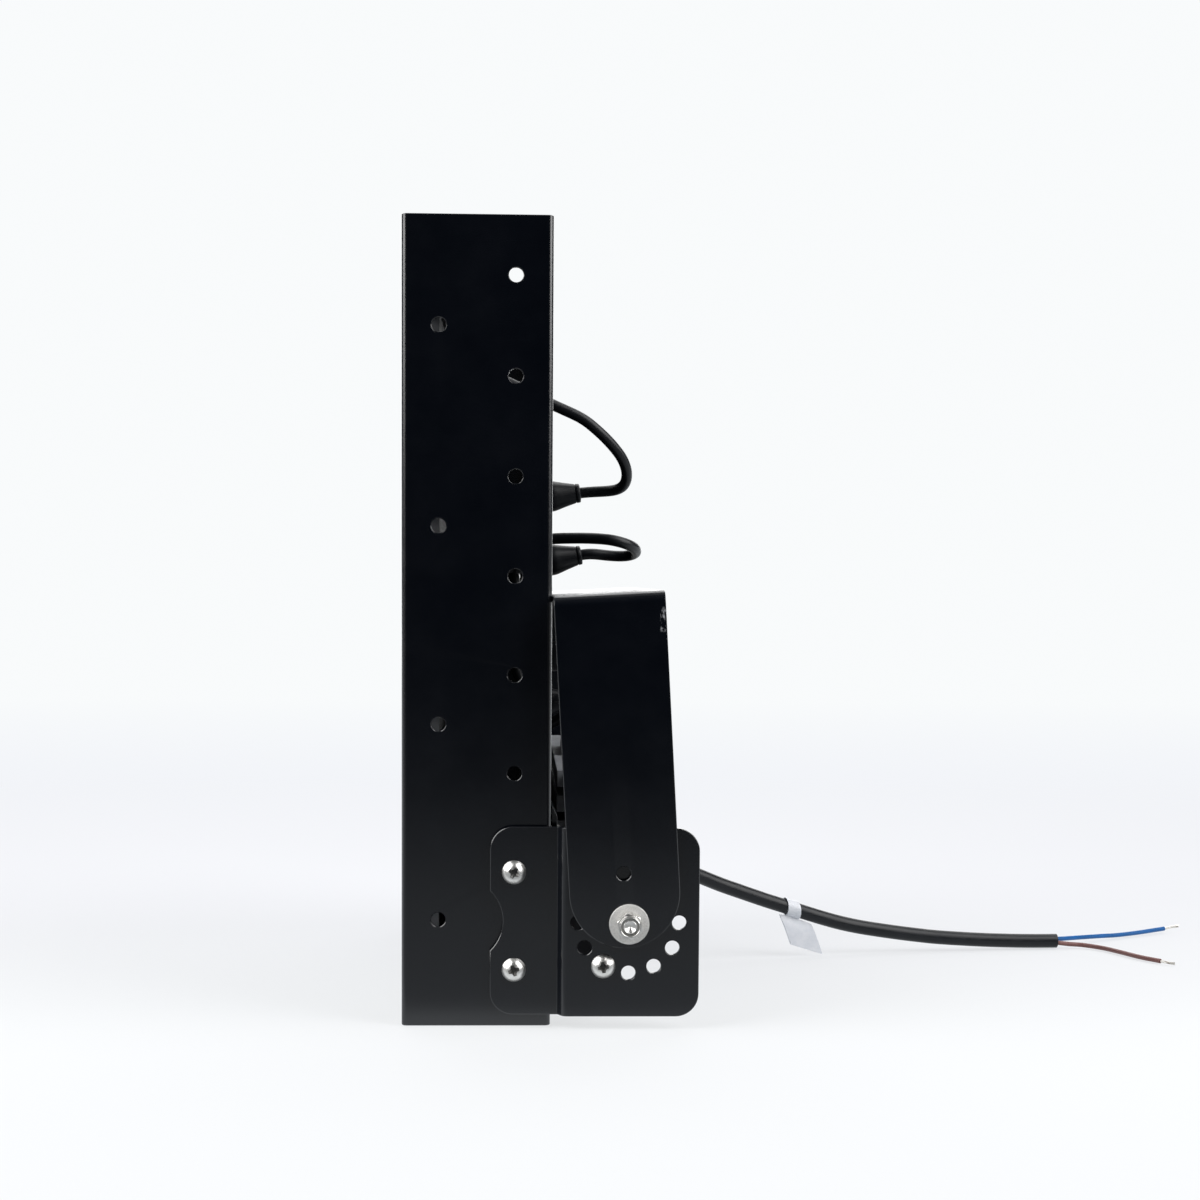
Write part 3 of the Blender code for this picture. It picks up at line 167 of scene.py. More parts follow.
SOCKET = [
    (0.0, 0.46), (0.02, 0.49), (0.13, 0.51), (0.16, 0.50), (0.30, 0.66), (0.44, 0.80), (0.46, 0.84),
    (0.49, 0.96), (0.52, 1.0), (0.60, 1.0), (0.62, 0.96), (0.66, 0.96), (0.68, 1.0), (0.97, 1.0), (1.0, 0.98),
]
MODULE_GLAND_HEX = 0.012
SUPPLY_GLAND_HEX = 0.017
GLAND_NUT = 0.0047
SUPPLY_NUT = 0.0076
SUPPLY_HEX_RISE = 0.005
GLAND_HEX_RISE = 0.004
STRIP_RISE = 0.004
STRIP_BEVEL = 0.0004
NECK_RISE = 0.003
SLEEVE_RIBS = 5
SLEEVE_GROOVE = 0.0006

# Lenses and LEDs
LENS_SHEET = 0.002
LENS_PITCH = 0.030
LENS_COLUMNS = 8
LENS_ROW = 0.0125
DOME_RADIUS = 0.0105
DOME_SEAT = 0.0003
LENS_BAND = 0.0079
LED_HALF = 0.0025
LED_RISE = 0.0005
CHIP = [(0.0, 0.0004), (0.0018, 0.0004), (0.0016, 0.0008), (0.0, 0.0009)]

# Routes of the leads, the cord and its cores, from the lamp's front face, mid-width and foot
TOP_LEAD_ROUTE = [
    (0.0306, -0.0090, 0.29375), (0.0360, -0.0090, 0.29375), (0.0470, -0.0092, 0.2898),
    (0.0580, -0.0095, 0.2842), (0.0679, -0.0095, 0.2797), (0.0815, -0.0090, 0.2736),
    (0.0887, -0.0075, 0.2683), (0.0947, -0.0050, 0.2630), (0.1006, -0.0010, 0.2565),
    (0.1035, 0.0025, 0.2515), (0.1046, 0.0060, 0.2468), (0.1038, 0.0092, 0.2425),
    (0.1008, 0.0115, 0.2400), (0.0945, 0.0134, 0.2391), (0.0880, 0.0139, 0.2388),
    (0.0838, 0.0140, 0.23845), (0.0818, 0.0140, 0.2382),
]
UPPER_LEAD_ROUTE = [
    (0.0306, -0.0090, 0.20825), (0.0360, -0.0090, 0.20825), (0.0480, -0.0092, 0.2110),
    (0.0580, -0.0098, 0.2135), (0.0682, -0.0105, 0.2149), (0.0745, -0.0125, 0.2151),
    (0.0816, -0.0145, 0.2152), (0.0887, -0.0165, 0.2150), (0.0958, -0.0175, 0.2144),
    (0.1023, -0.0160, 0.2129), (0.1068, -0.0110, 0.2112), (0.1088, -0.0040, 0.2094),
    (0.1083, 0.0035, 0.2079), (0.1050, 0.0080, 0.2069), (0.0995, 0.0095, 0.2068),
    (0.0930, 0.0090, 0.2073), (0.0880, 0.0082, 0.2079), (0.0844, 0.0080, 0.20766),
    (0.0824, 0.0080, 0.2073),
]
LOWER_LEAD_ROUTE = [
    (0.0306, -0.0090, 0.12275), (0.0370, -0.0090, 0.12275), (0.0500, -0.0130, 0.1218),
    (0.0600, -0.0160, 0.1218), (0.0680, -0.0165, 0.1250), (0.0760, -0.0170, 0.1305),
    (0.0860, -0.0170, 0.1380), (0.0940, -0.0150, 0.1460), (0.0985, -0.0100, 0.1530),
    (0.0980, -0.0040, 0.1567), (0.0940, 0.0005, 0.1572), (0.0885, 0.0020, 0.1570),
    (0.0838, 0.0020, 0.1570),
]
BOTTOM_LEAD_ROUTE = [
    (0.0306, -0.0090, 0.03725), (0.0360, -0.0090, 0.03725), (0.0450, -0.0130, 0.0355),
    (0.0515, -0.0200, 0.0355), (0.0543, -0.0258, 0.0410), (0.0545, -0.0270, 0.0500),
    (0.0545, -0.0270, 0.0577),
]
TOP_DRIVER_ROUTE = [
    (0.0472, 0.0139, 0.2339), (0.0432, 0.0139, 0.2334), (0.0398, 0.0139, 0.2300),
    (0.0388, 0.0139, 0.2220), (0.0402, 0.0140, 0.2130), (0.0452, 0.0151, 0.2045),
    (0.0487, 0.0155, 0.1980), (0.0488, 0.0155, 0.1900), (0.0486, 0.0155, 0.1750),
    (0.0486, 0.0155, 0.1600), (0.0500, 0.0160, 0.1480), (0.0560, 0.0180, 0.1400),
    (0.0650, 0.0220, 0.1375), (0.0730, 0.0240, 0.1360), (0.0775, 0.0240, 0.1310),
    (0.0786, 0.0240, 0.1265), (0.0786, 0.0240, 0.1225),
]
UPPER_DRIVER_ROUTE = [
    (0.0481, 0.0080, 0.2011), (0.0442, 0.0080, 0.2004), (0.0403, 0.0080, 0.1970),
    (0.0388, 0.0080, 0.1900), (0.0385, 0.0080, 0.1700), (0.0385, 0.0080, 0.1500),
    (0.0405, 0.0080, 0.1385), (0.0480, 0.0080, 0.1325), (0.0590, 0.0080, 0.1325),
    (0.0700, 0.0080, 0.1345), (0.0767, 0.0080, 0.1325), (0.0786, 0.0080, 0.1275),
    (0.0786, 0.0080, 0.1225),
]
LOWER_DRIVER_ROUTE = [
    (0.0489, 0.0020, 0.1570), (0.0440, 0.0020, 0.1569), (0.0397, 0.0015, 0.1520),
    (0.0388, 0.0005, 0.1420), (0.0415, -0.0010, 0.1325), (0.0500, -0.0035, 0.1270),
    (0.0610, -0.0060, 0.1290), (0.0705, -0.0078, 0.1325), (0.0767, -0.0080, 0.1318),
    (0.0786, -0.0080, 0.1275), (0.0786, -0.0080, 0.1225),
]
BOTTOM_DRIVER_ROUTE = [
    (0.0545, -0.0270, 0.0926), (0.0545, -0.0270, 0.1000), (0.0550, -0.0270, 0.1130),
    (0.0590, -0.0265, 0.1250), (0.0670, -0.0250, 0.1325), (0.0750, -0.0242, 0.1335),
    (0.0786, -0.0240, 0.1282), (0.0786, -0.0240, 0.1225),
]
CORD_ROUTE = [
    (0.1116, 0.0140, 0.0530), (0.1186, 0.0140, 0.0530), (0.1275, 0.0162, 0.0508),
    (0.1360, 0.0201, 0.0474), (0.1445, 0.0240, 0.0438), (0.1553, 0.0290, 0.0390),
    (0.1661, 0.0330, 0.0348), (0.1800, 0.0374, 0.0296), (0.1940, 0.0413, 0.0248),
    (0.2095, 0.0450, 0.0196), (0.2205, 0.0475, 0.0163), (0.2314, 0.0500, 0.0137),
    (0.2424, 0.0520, 0.0117), (0.2534, 0.0540, 0.0099), (0.2644, 0.0560, 0.0083),
    (0.2754, 0.0575, 0.0070), (0.2974, 0.0605, 0.0053), (0.3195, 0.0630, 0.0043),
    (0.3394, 0.0650, 0.0040),
]
BLUE_ROUTE = [
    (0.3398, 0.0668, 0.0047), (0.3450, 0.0700, 0.0044), (0.3570, 0.0800, 0.0035),
    (0.3700, 0.0895, 0.0027), (0.3806, 0.0965, 0.0021), (0.3950, 0.1060, 0.0020),
    (0.4130, 0.1180, 0.0024),
]
BROWN_ROUTE = [
    (0.3398, 0.0634, 0.0032), (0.3460, 0.0640, 0.0024), (0.3540, 0.0640, 0.0018),
    (0.3625, 0.0560, 0.0015), (0.3685, 0.0425, 0.0015), (0.3745, 0.0270, 0.0015),
    (0.3815, 0.0150, 0.0015),
]
BLUE_TIP_ROUTE = [(0.4133, 0.1182, 0.0024), (0.4180, 0.1214, 0.0026), (0.4235, 0.1252, 0.0028)]
BROWN_TIP_ROUTE = [(0.3817, 0.0146, 0.0015), (0.3840, 0.0112, 0.0014), (0.3868, 0.0072, 0.0014)]
TAG_POINT = 8
TAG_SHEET = 0.0005
TAG_BAND = 0.0074
TAG_WIDTH = 0.0187
TAG_OFFSET = 0.0015
TAG_DROP = 0.0138
TAG_TILT = 10
TAG_WAVE = 0.0005
TAG_WAVES = 300
BAND_SHEAR_SHARE = 0.34
TAG_SHEAR_SHARE = 0.79

# Camera, fitted to the corners and holes in the photograph
CAMERA_PLACE = (-0.01731, -1.12875, 0.19541)
CAMERA_PITCH = 4.583
CAMERA_YAW = -2.247
CAMERA_ROLL = 0.214
CAMERA_LENS = 68.13
CAMERA_SHIFT = 0.134

# Powder coat, and the spans over which its scuffs come and go on the yoke's bar
COAT_GLOSS = 0.80
COAT_SHADES = ((0.0004, 0.0012, 0.0032), (0.0009, 0.0018, 0.0042))
SCUFF_BACK = (0.0462, 0.0472)
SCUFF_FRONT = (0.0012, 0.0006)
SCUFF_LOW = (0.1728, 0.1745)
SCUFF_HIGH = (0.1815, 0.1840)

# Stage: glowing colours of the sweep from front to back, darker behind the lamp as painted shade, and the floor
# glow that only reflections see
BACKDROP = (0.945, 0.962, 0.970)
FLOOR_FRONT = (0.945, 0.962, 0.970)
# The next two tones are darker bands behind the lamp on the glowing floor: painted shade and falloff
FLOOR_NEAR_SHADE = (0.880, 0.890, 0.922)
FLOOR_MIDDLE_SHADE = (0.896, 0.913, 0.947)
FLOOR_STOPS = ((0.245, FLOOR_FRONT), (0.355, FLOOR_NEAR_SHADE), (0.44, FLOOR_NEAR_SHADE), (0.62, FLOOR_MIDDLE_SHADE))
FLOOR_PAPER = (0.60, 0.608, 0.63)
FLOOR_BLUE = (0.93, 0.97, 1.0)
FLOOR_TONE_SPAN = (-1.0, 2.5)
FLOOR_SHADOW_SPAN = (0.35, 1.1)
FLOOR_ASIDE_SPAN = (0.25, 0.55)
FLOOR_SHADOW = 0.30
FLOOR_GLOW = 0.38
FLOOR_FOOT_GLOW = 0.85
FLOOR_HALF = -0.195
FLOOR_CLOSE = -0.168
FLOOR_END = -0.62
FLOOR_END_FADE = 0.35
FLOOR_DARK = 0.05
FLOOR_ASIDE = 1.3
FLOOR_REACH = 12.0
FLOOR_DROP = 0.0002
WORLD_FILL = 0.008
WORLD_BLUE = (0.9, 0.95, 1.0)
LIGHT_TARGET = (0.0, 0.1, 0.17)
# Soft boxes above, behind and at both sides (place, size, power), while the camera's side stays dark
LIGHTS = {
    "top_box": ((0.0, 0.9, 1.6), (2.0, 1.0), 16),
    "overhead_box": ((0.0, 0.2, 1.9), (2.2, 1.6), 2.6),
    "left_box": ((-1.67, -0.67, 1.45), (1.9, 2.3), 72),
    "right_box": ((1.67, -0.67, 1.45), (1.9, 2.3), 67),
    "back_box": ((0.0, 2.6, 0.9), (3.4, 1.8), 46),
}


def place(x, y, z):
    """A point given from the lamp's front face, mid-width and foot."""
    return Vector((FRONT + x, y, z))


def smooth_points(route, step):
    """Evenly spaced points on a smooth curve through the route's own points."""
    points = [place(*point) for point in route]
    ends = [2 * points[0] - points[1]] + points + [2 * points[-1] - points[-2]]
    fine = []
    for k in range(1, len(ends) - 2):
        before, start, end, after = ends[k - 1:k + 3]
        for part in range(24):
            t = part / 24
            fine.append(0.5 * (
                2 * start + (end - before) * t
                + (2 * before - 5 * start + 4 * end - after) * t * t
                + (3 * start - before - 3 * end + after) * t ** 3))
    fine.append(points[-1])
    lengths = [0.0]
    for a, b in zip(fine, fine[1:]):
        lengths.append(lengths[-1] + (b - a).length)
    count = max(2, round(lengths[-1] / step))
    result = []
    found = 0
    for k in range(count + 1):
        target = lengths[-1] * k / count
        while found < len(fine) - 2 and lengths[found + 1] < target:
            found += 1
        run = lengths[found + 1] - lengths[found]
        result.append(fine[found].lerp(fine[found + 1], (target - lengths[found]) / run))
    return result


def add_camera():
    data = bpy.data.cameras.new("camera")
    data.sensor_fit = "HORIZONTAL"
    data.lens = CAMERA_LENS
    data.shift_y = CAMERA_SHIFT
    camera = add_object("camera", data)
    turn = Matrix.Rotation(radians(90 - CAMERA_PITCH), 4, "X")
    turn = turn @ Matrix.Rotation(radians(CAMERA_YAW), 4, "Y")
    turn = turn @ Matrix.Rotation(radians(CAMERA_ROLL), 4, "Z")
    camera.matrix_world = Matrix.Translation(CAMERA_PLACE) @ turn
    bpy.context.scene.camera = camera


class Nodes:
    """A short way to write a material's nodes, whose inputs take a value, a colour or another output."""

    def __init__(self, name):
        self.material = bpy.data.materials.new(name)
        self.material.use_nodes = True
        self.tree = self.material.node_tree
        self.shader = self.tree.nodes["Principled BSDF"]
        self.coordinates = self.add("ShaderNodeTexCoord").outputs["Object"]

    def add(self, kind, sockets=None, **settings):
        node = self.tree.nodes.new(kind)
        for key, value in settings.items():
            setattr(node, key, value)
        for key, value in (sockets or {}).items():
            self.fill(node.inputs[key], value)
        return node

    def fill(self, socket, value):
        if isinstance(value, (int, float)):
            socket.default_value = value
        elif isinstance(value, tuple):
            socket.default_value = (*value, 1.0)[:len(socket.default_value)]
        else:
            self.tree.links.new(value, socket)

    def set(self, **sockets):
        for name, value in sockets.items():
            self.fill(self.shader.inputs[name.replace("_", " ")], value)

    def noise(self, scale, detail, roughness, stretch=(1, 1, 1)):
        mapping = self.add("ShaderNodeMapping", {"Vector": self.coordinates, "Scale": stretch})
        sockets = {"Vector": mapping.outputs[0], "Scale": scale, "Detail": detail, "Roughness": roughness}
        return self.add("ShaderNodeTexNoise", sockets).outputs["Fac"]

    def cells(self, scale):
        sockets = {"Vector": self.coordinates, "Scale": scale}
        return self.add("ShaderNodeTexVoronoi", sockets).outputs["Distance"]

    def ramp(self, source, low, high, start=0.0, end=1.0):
        """Maps a value from low..high to start..end, held at its ends."""
        sockets = {"Value": source, "From Min": low, "From Max": high, "To Min": start, "To Max": end}
        return self.add("ShaderNodeMapRange", sockets).outputs["Result"]

    def math(self, kind, a, b):
        return self.add("ShaderNodeMath", {0: a, 1: b}, operation=kind).outputs[0]

    def times(self, a, b):
        return self.math("MULTIPLY", a, b)

    def mix(self, share, a, b):
        return self.add("ShaderNodeMix", {"Factor": share, 6: a, 7: b}, data_type="RGBA").outputs[2]

    def axes(self):
        return self.add("ShaderNodeSeparateXYZ", {"Vector": self.coordinates}).outputs

    def bump(self, height, strength, distance):
        sockets = {"Height": height, "Strength": strength, "Distance": distance}
        return self.add("ShaderNodeBump", sockets).outputs["Normal"]


def grained(name, fine, coarse, tint, shades, gloss, relief, gloss_from="fine", **sockets):
    """A material of two noises: the coarse one mixes its two shades, the fine one is its bump, and either
    sets its gloss."""
    made = Nodes(name + "_fine")
    noises = {"fine": made.noise(*fine)}
    noises["coarse"] = made.noise(*coarse) if coarse else noises["fine"]
    made.color = made.mix(made.ramp(noises["coarse"], *tint), *shades)
    made.gloss = made.ramp(noises[gloss_from], *gloss)
    made.set(Base_Color=made.color, Roughness=made.gloss, Normal=made.bump(noises["fine"], *relief), **sockets)
    return made


def coat(name, thin_from, dust_share, mark_color, scuffed=False):
    """Satin powder coat: fine orange peel, a few dust specks and, on the yoke, pale scuffs near its corners."""
    made = grained(name, (2600, 2, 0.5), (38, 3, 0.6), (0.35, 0.7), COAT_SHADES, (0.3, 0.75, 0.20, 0.25),
                   (0.22, 0.0001), "coarse", Specular_IOR_Level=COAT_GLOSS)
    specks = made.ramp(made.cells(230), 0.016, 0.034, 1.0, 0.0)
    thin = made.ramp(made.noise(95, 2, 0.5), thin_from, 0.66)
    marks = made.times(made.times(specks, thin), dust_share)
    if scuffed:
        x, _, z = made.axes()
        edges = made.math("MAXIMUM", made.ramp(x, *SCUFF_BACK), made.ramp(x, *SCUFF_FRONT))
        band = made.times(made.ramp(z, *SCUFF_LOW), made.ramp(z, *SCUFF_HIGH, 1.0, 0.0))
        rub = made.ramp(made.noise(520, 3, 0.7, (1, 1, 0.4)), 0.46, 0.60)
        marks = made.math("MAXIMUM", marks, made.times(made.times(band, edges), rub))
    made.set(Base_Color=made.mix(marks, made.color, mark_color))
    return made


def stainless():
    """Bright stainless steel with fine turning marks, darker smudges, and painted shade in the screw heads'
    cross recesses.
    """
    made = grained("stainless", (2400, 2, 0.6, (1, 0.05, 1)), (260, 3, 0.6), (0.4, 0.75),
                   ((0.84, 0.83, 0.81), (0.70, 0.69, 0.66)), (0.3, 0.7, 0.27, 0.35), (0.10, 0.00005), "coarse",
                   Metallic=1.0)
    # Faces marked as recess are painted darker and rougher: painted shade inside the cross recesses
    soil = made.add("ShaderNodeAttribute", attribute_name="soil").outputs["Fac"]
    dull = made.math("ADD", made.gloss, made.times(soil, 0.2))
    made.set(Base_Color=made.mix(soil, made.color, (0.15, 0.147, 0.142)), Roughness=dull)
    return made


def satin_steel():
    """Rolled stainless sheet, tumbled to a satin with a fine grain."""
    made = Nodes("satin_steel_fine")
    grain = made.noise(2200, 2, 0.6, (1, 0.2, 1))
    smudge = made.noise(180, 3, 0.6)
    mottle = made.math("ADD", made.times(grain, 0.6), made.times(smudge, 0.4))
    color = made.mix(made.ramp(mottle, 0.38, 0.62), (0.93, 0.92, 0.90), (0.72, 0.71, 0.69))
    made.set(Base_Color=color, Metallic=1.0, Roughness=made.ramp(smudge, 0.3, 0.7, 0.60, 0.68))
    made.set(Normal=made.bump(grain, 0.30, 0.00006))
    return made


def extruded():
    """Black anodised extrusion: long draw lines along the width, a bloom in places and paler cut ends."""
    made = grained("extruded", (900, 3, 0.6, (1, 0.02, 1)), (60, 3, 0.6), (0.4, 0.7),
                   ((0.014, 0.015, 0.017), (0.028, 0.029, 0.032)), (0.35, 0.65, 0.50, 0.62), (0.22, 0.0001),
                   Metallic=0.3)
    away = made.math("ABSOLUTE", made.axes()["Y"], 0.0)
    end = made.ramp(away, SINK_HALF - 0.0008, SINK_HALF - 0.0004)
    made.set(Base_Color=made.mix(end, made.color, (0.16, 0.165, 0.175)))
    return made


def rubber(name, color, pale, roughness):
    """Cable sheath or moulding: a soft sheen, faint dusting and a fine grain."""
    return grained(name, (2800, 2, 0.5), (140, 4, 0.65), (0.45, 0.8), (color, pale),
                   (0.3, 0.7, roughness - 0.05, roughness + 0.08), (0.15, 0.00008), "coarse",
                   Specular_IOR_Level=0.3)


def clear_plastic():
    """Clear moulded lens plate, a little cloudy where it was handled."""
    made = Nodes("clear_plastic_fine")
    made.set(Base_Color=(0.96, 0.98, 0.99), IOR=1.49, Transmission_Weight=0.92)
    made.set(Roughness=made.ramp(made.noise(80, 3, 0.6), 0.35, 0.75, 0.03, 0.12))
    made.set(Normal=made.bump(made.noise(300, 2, 0.5), 0.05, 0.0001))
    return made


def make_materials():
    """Every finish by its name, among them the driver's grey anodising, the white solder mask, an LED's
    phosphor, the slightly see-through label film and tinned copper strands."""
    made = {
        "black_coat": coat("black_coat", 0.60, 0.5, (0.10, 0.105, 0.115)),
        "worn_coat": coat("worn_coat", 0.58, 0.6, (0.42, 0.43, 0.45), True),
        "stainless": stainless(),
        "satin_steel": satin_steel(),
        "aluminium": extruded(),
        "clear_plastic": clear_plastic(),
        "grey_cast": grained("grey_case", (1800, 2, 0.6, (1, 0.06, 1)), (45, 3, 0.6), (0.4, 0.7),
                             ((0.22, 0.23, 0.25), (0.29, 0.30, 0.32)), (0.35, 0.65, 0.50, 0.60),
                             (0.16, 0.00008), Metallic=0.2),
        "board": grained("board_mask", (1500, 1, 0.4), (70, 3, 0.6), (0.4, 0.7),
                         ((0.82, 0.83, 0.82), (0.74, 0.75, 0.75)), (0.3, 0.7, 0.34, 0.44), (0.1, 0.00005)),
        "phosphor": grained("phosphor", (1200, 2, 0.5), None, (0.3, 0.7),
                            ((0.86, 0.62, 0.06), (0.78, 0.52, 0.04)), (0.3, 0.7, 0.3, 0.4), (0.1, 0.00005)),
        "white_label": grained("label_film", (180, 3, 0.6), None, (0.35, 0.7),
                               ((0.74, 0.75, 0.79), (0.64, 0.66, 0.71)), (0.3, 0.7, 0.30, 0.42),
                               (0.2, 0.0003), Transmission_Weight=0.12),
        "tinned": grained("tinned", (1700, 2, 0.5, (0.15, 0.15, 1)), (500, 2, 0.5), (0.4, 0.7),
                          ((0.78, 0.76, 0.72), (0.55, 0.50, 0.45)), (0.3, 0.7, 0.28, 0.42), (0.4, 0.0001),
                          Metallic=1.0),
    }
    for name, *look in (("silicone", (0.20, 0.20, 0.21), (0.27, 0.27, 0.28), 0.62),
                        ("black_rubber", (0.0035, 0.0042, 0.0060), (0.007, 0.008, 0.011), 0.36),
                        ("black_plastic", (0.006, 0.006, 0.008), (0.011, 0.011, 0.013), 0.38),
                        ("potting", (0.04, 0.04, 0.045), (0.07, 0.07, 0.075), 0.55),
                        ("blue_core", (0.0002, 0.076, 0.25), (0.0005, 0.102, 0.34), 0.36),
                        ("brown_core", (0.155, 0.070, 0.063), (0.20, 0.098, 0.087), 0.42)):
        made[name] = rubber(name, *look)
    return {name: nodes.material for name, nodes in made.items()}


def circle(centre, radius, sides=40):
    steps = [2 * pi * k / sides for k in range(sides)]
    return [(centre[0] + radius * cos(a), centre[1] + radius * sin(a)) for a in steps]


def arc(centre, radius, start, end, pieces=8):
    steps = [radians(start + (end - start) * k / pieces) for k in range(pieces + 1)]
    return [(centre[0] + radius * cos(a), centre[1] + radius * sin(a)) for a in steps]


def rectangle(low, high):
    return [(low[0], low[1]), (high[0], low[1]), (high[0], high[1]), (low[0], high[1])]


def drawn_in(loop, distance):
    """A loop moved to its left by a distance, which is inwards where it runs anticlockwise."""
    moved = []
    for k, here in enumerate(loop):
        sides = (Vector(here) - Vector(loop[k - 1]), Vector(loop[(k + 1) % len(loop)]) - Vector(here))
        normals = [Vector((-side.y, side.x)).normalized() for side in sides]
        middle = (normals[0] + normals[1]).normalized()
        shift = middle * distance / max(middle.dot(normals[0]), 0.5)
        moved.append((here[0] + shift.x, here[1] + shift.y))
    return moved


def turns_left(loop):
    return sum(a[0] * b[1] - b[0] * a[1] for a, b in zip(loop, loop[1:] + loop[:1])) > 0


def add_plate(shell, outline, holes, low, high, axis="z", edge=0.0):
    """A plate whose outline and holes lie across the axis, its rims broken by a small chamfer."""
    loops = [outline if turns_left(outline) else outline[::-1]]
    loops += [hole[::-1] if turns_left(hole) else hole for hole in holes]
    faces = [drawn_in(loop, edge) if edge else loop for loop in loops]
    triangles = tessellate_polygon([[Vector((u, v, 0.0)) for u, v in loop] for loop in faces])
    spots = {"x": lambda p, d: (d, p[0], p[1]), "y": lambda p, d: (p[0], d, p[1]), "z": lambda p, d: (*p, d)}
    levels = [(faces, low), (loops, low + edge), (loops, high - edge), (faces, high)]
    if not edge:
        levels = levels[1:3]
    rows = [[shell.verts.new(spots[axis](point, level)) for loop in kind for point in loop]
            for kind, level in levels]
    for a, b, c in triangles:
        shell.faces.new((rows[0][a], rows[0][b], rows[0][c]))
        shell.faces.new((rows[-1][c], rows[-1][b], rows[-1][a]))
    start = 0
    for loop in loops:
        for k in range(len(loop)):
            a = start + k
            b = start + (k + 1) % len(loop)
            for under, over in zip(rows, rows[1:]):
                shell.faces.new((under[a], under[b], over[b], over[a]))
        start += len(loop)


def plate(outline, holes, low, high, axis="z", edge=0.0):
    shell = bmesh.new()
    add_plate(shell, outline, holes, low, high, axis, edge)
    return shell


def slice_at(shell, stations):
    """Cuts every face at the given x values, so that a bend has edges to turn at."""
    for x in stations:
        whole = shell.verts[:] + shell.edges[:] + shell.faces[:]
        bmesh.ops.bisect_plane(shell, geom=whole, plane_co=(x, 0.0, 0.0), plane_no=(1.0, 0.0, 0.0))


def bent(origin, angle, run, step, along):
    """The place and heading some way along a piece of a path that is straight or turns by a step."""
    here = angle + step * (along / run)
    if not step:
        return origin + Vector((cos(angle), sin(angle))) * along, here
    radius = run / step
    centre = origin + Vector((-sin(angle), cos(angle))) * radius
    return centre + Vector((sin(here), -cos(here))) * radius, here


def fold(shell, start, heading, segments):
    """Bends a flat sheet along a path of (length, turn in degrees). Its length lies along x, its middle
    at y zero. Gives each vertex its place in the plane of the path, and keeps its z."""
    spans = []
    point = Vector(start)
    angle = radians(heading)
    length = 0.0
    for run, turn in segments:
        pieces = max(1, ceil(abs(turn) / FOLD_STEP))
        for _ in range(pieces):
            span = (point, angle, run / pieces, radians(turn) / pieces)
            spans.append((length, span))
            point, angle = bent(*span, run / pieces)
            length += run / pieces
    slice_at(shell, [first for first, _ in spans[1:]])
    for vert in shell.verts:
        first, span = [s for s in spans if s[0] <= vert.co.x + MERGE][-1]
        spot, here = bent(*span, min(vert.co.x - first, span[2]))
        vert.co.x, vert.co.y = spot + Vector((-sin(here), cos(here))) * vert.co.y


def add_skin(shell, rings, matrix=Matrix.Identity(4)):
    """Skins rings of points, where a ring of one point is a pole."""
    loops = [[shell.verts.new(matrix @ Vector(point)) for point in loop] for loop in rings]
    for low, high in zip(loops, loops[1:]):
        count = max(len(low), len(high))
        for k in range(count):
            a = low[k % len(low)]
            b = low[(k + 1) % len(low)]
            c = high[(k + 1) % len(high)]
            d = high[k % len(high)]
            shell.faces.new(list(dict.fromkeys((a, b, c, d))))


def turned(profile, sides=32, lobes=0, depth_share=0.0):
    """Rings of a turned profile of (radius, height), fluted where lobes are asked for."""
    rings = []
    for radius, height in profile:
        if not radius:
            rings.append([(0.0, 0.0, height)])
            continue
        steps = [2 * pi * k / sides for k in range(sides)]
        wave = [1 - depth_share * (0.5 + 0.5 * cos(lobes * a)) if lobes else 1.0 for a in steps]
        rings.append([(radius * w * cos(a), radius * w * sin(a), height) for a, w in zip(steps, wave)])
    return rings


def hexagon_rings(across, profile, sides=60):
    """Rings of a hexagon whose corners are trimmed by a cone, from (radius limit, height) pairs."""
    rings = []
    for limit, height in profile:
        ring = []
        for k in range(sides):
            a = 2 * pi * k / sides
            flat = across / 2 / cos((a + pi / 6) % (pi / 3) - pi / 6)
            radius = min(flat, limit)
            ring.append((radius * cos(a), radius * sin(a), height))
        rings.append(ring)
    return rings


def capped(rings):
    """Rings with a pole at the height of the first and of the last one."""
    return [[(0.0, 0.0, rings[0][0][2])]] + rings + [[(0.0, 0.0, rings[-1][0][2])]]


def facing(point, direction, spin=0.0):
    """A placement at a point, with its height along the direction."""
    turn = Vector(direction).to_track_quat("Z", "Y").to_matrix().to_4x4()
    return Matrix.Translation(Vector(point)) @ turn @ Matrix.Rotation(radians(spin), 4, "Z")


def closed_mesh(name, shell):
    """A mesh with its faces turned outwards."""
    bmesh.ops.recalc_face_normals(shell, faces=shell.faces[:])
    mesh = bpy.data.meshes.new(name)
    shell.to_mesh(mesh)
    shell.free()
    return mesh


def add_object(name, data):
    made = bpy.data.objects.new(name, data)
    bpy.context.collection.objects.link(made)
    return made


def add_piece(name, shell, material, nodes=(), body="lamp", sharp=32):
    """Turns a bmesh into a piece of the lamp, in place of the CAD nodes that it stands for."""
    mesh = closed_mesh(name, shell)
    mesh.shade_smooth()
    mesh.set_sharp_from_angle(angle=radians(sharp))
    return finish_piece(add_object(name, mesh), material, nodes, body)


def finish_piece(made, material, nodes=(), body="lamp"):
    """Gives a piece its material and body, and hides the CAD nodes that it stands for."""
    made.data.materials.append(MATERIALS[material])
    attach(made, body)
    if nodes:
        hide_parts(*nodes)
    return made


def skin_piece(name, rings, seat, material, nodes=(), sharp=32):
    """A piece of one skin, joined where its last ring lies on its first."""
    shell = bmesh.new()
    add_skin(shell, rings, seat)
    bmesh.ops.remove_doubles(shell, verts=shell.verts[:], dist=MERGE)
    return add_piece(name, shell, material, nodes, sharp=sharp)


def add_bevel(made, width):
    modifier = made.modifiers.new("edges", "BEVEL")
    modifier.width = width
    modifier.segments = 2
    modifier.limit_method = "ANGLE"
    modifier.angle_limit = radians(35)
    modifier.harden_normals = True


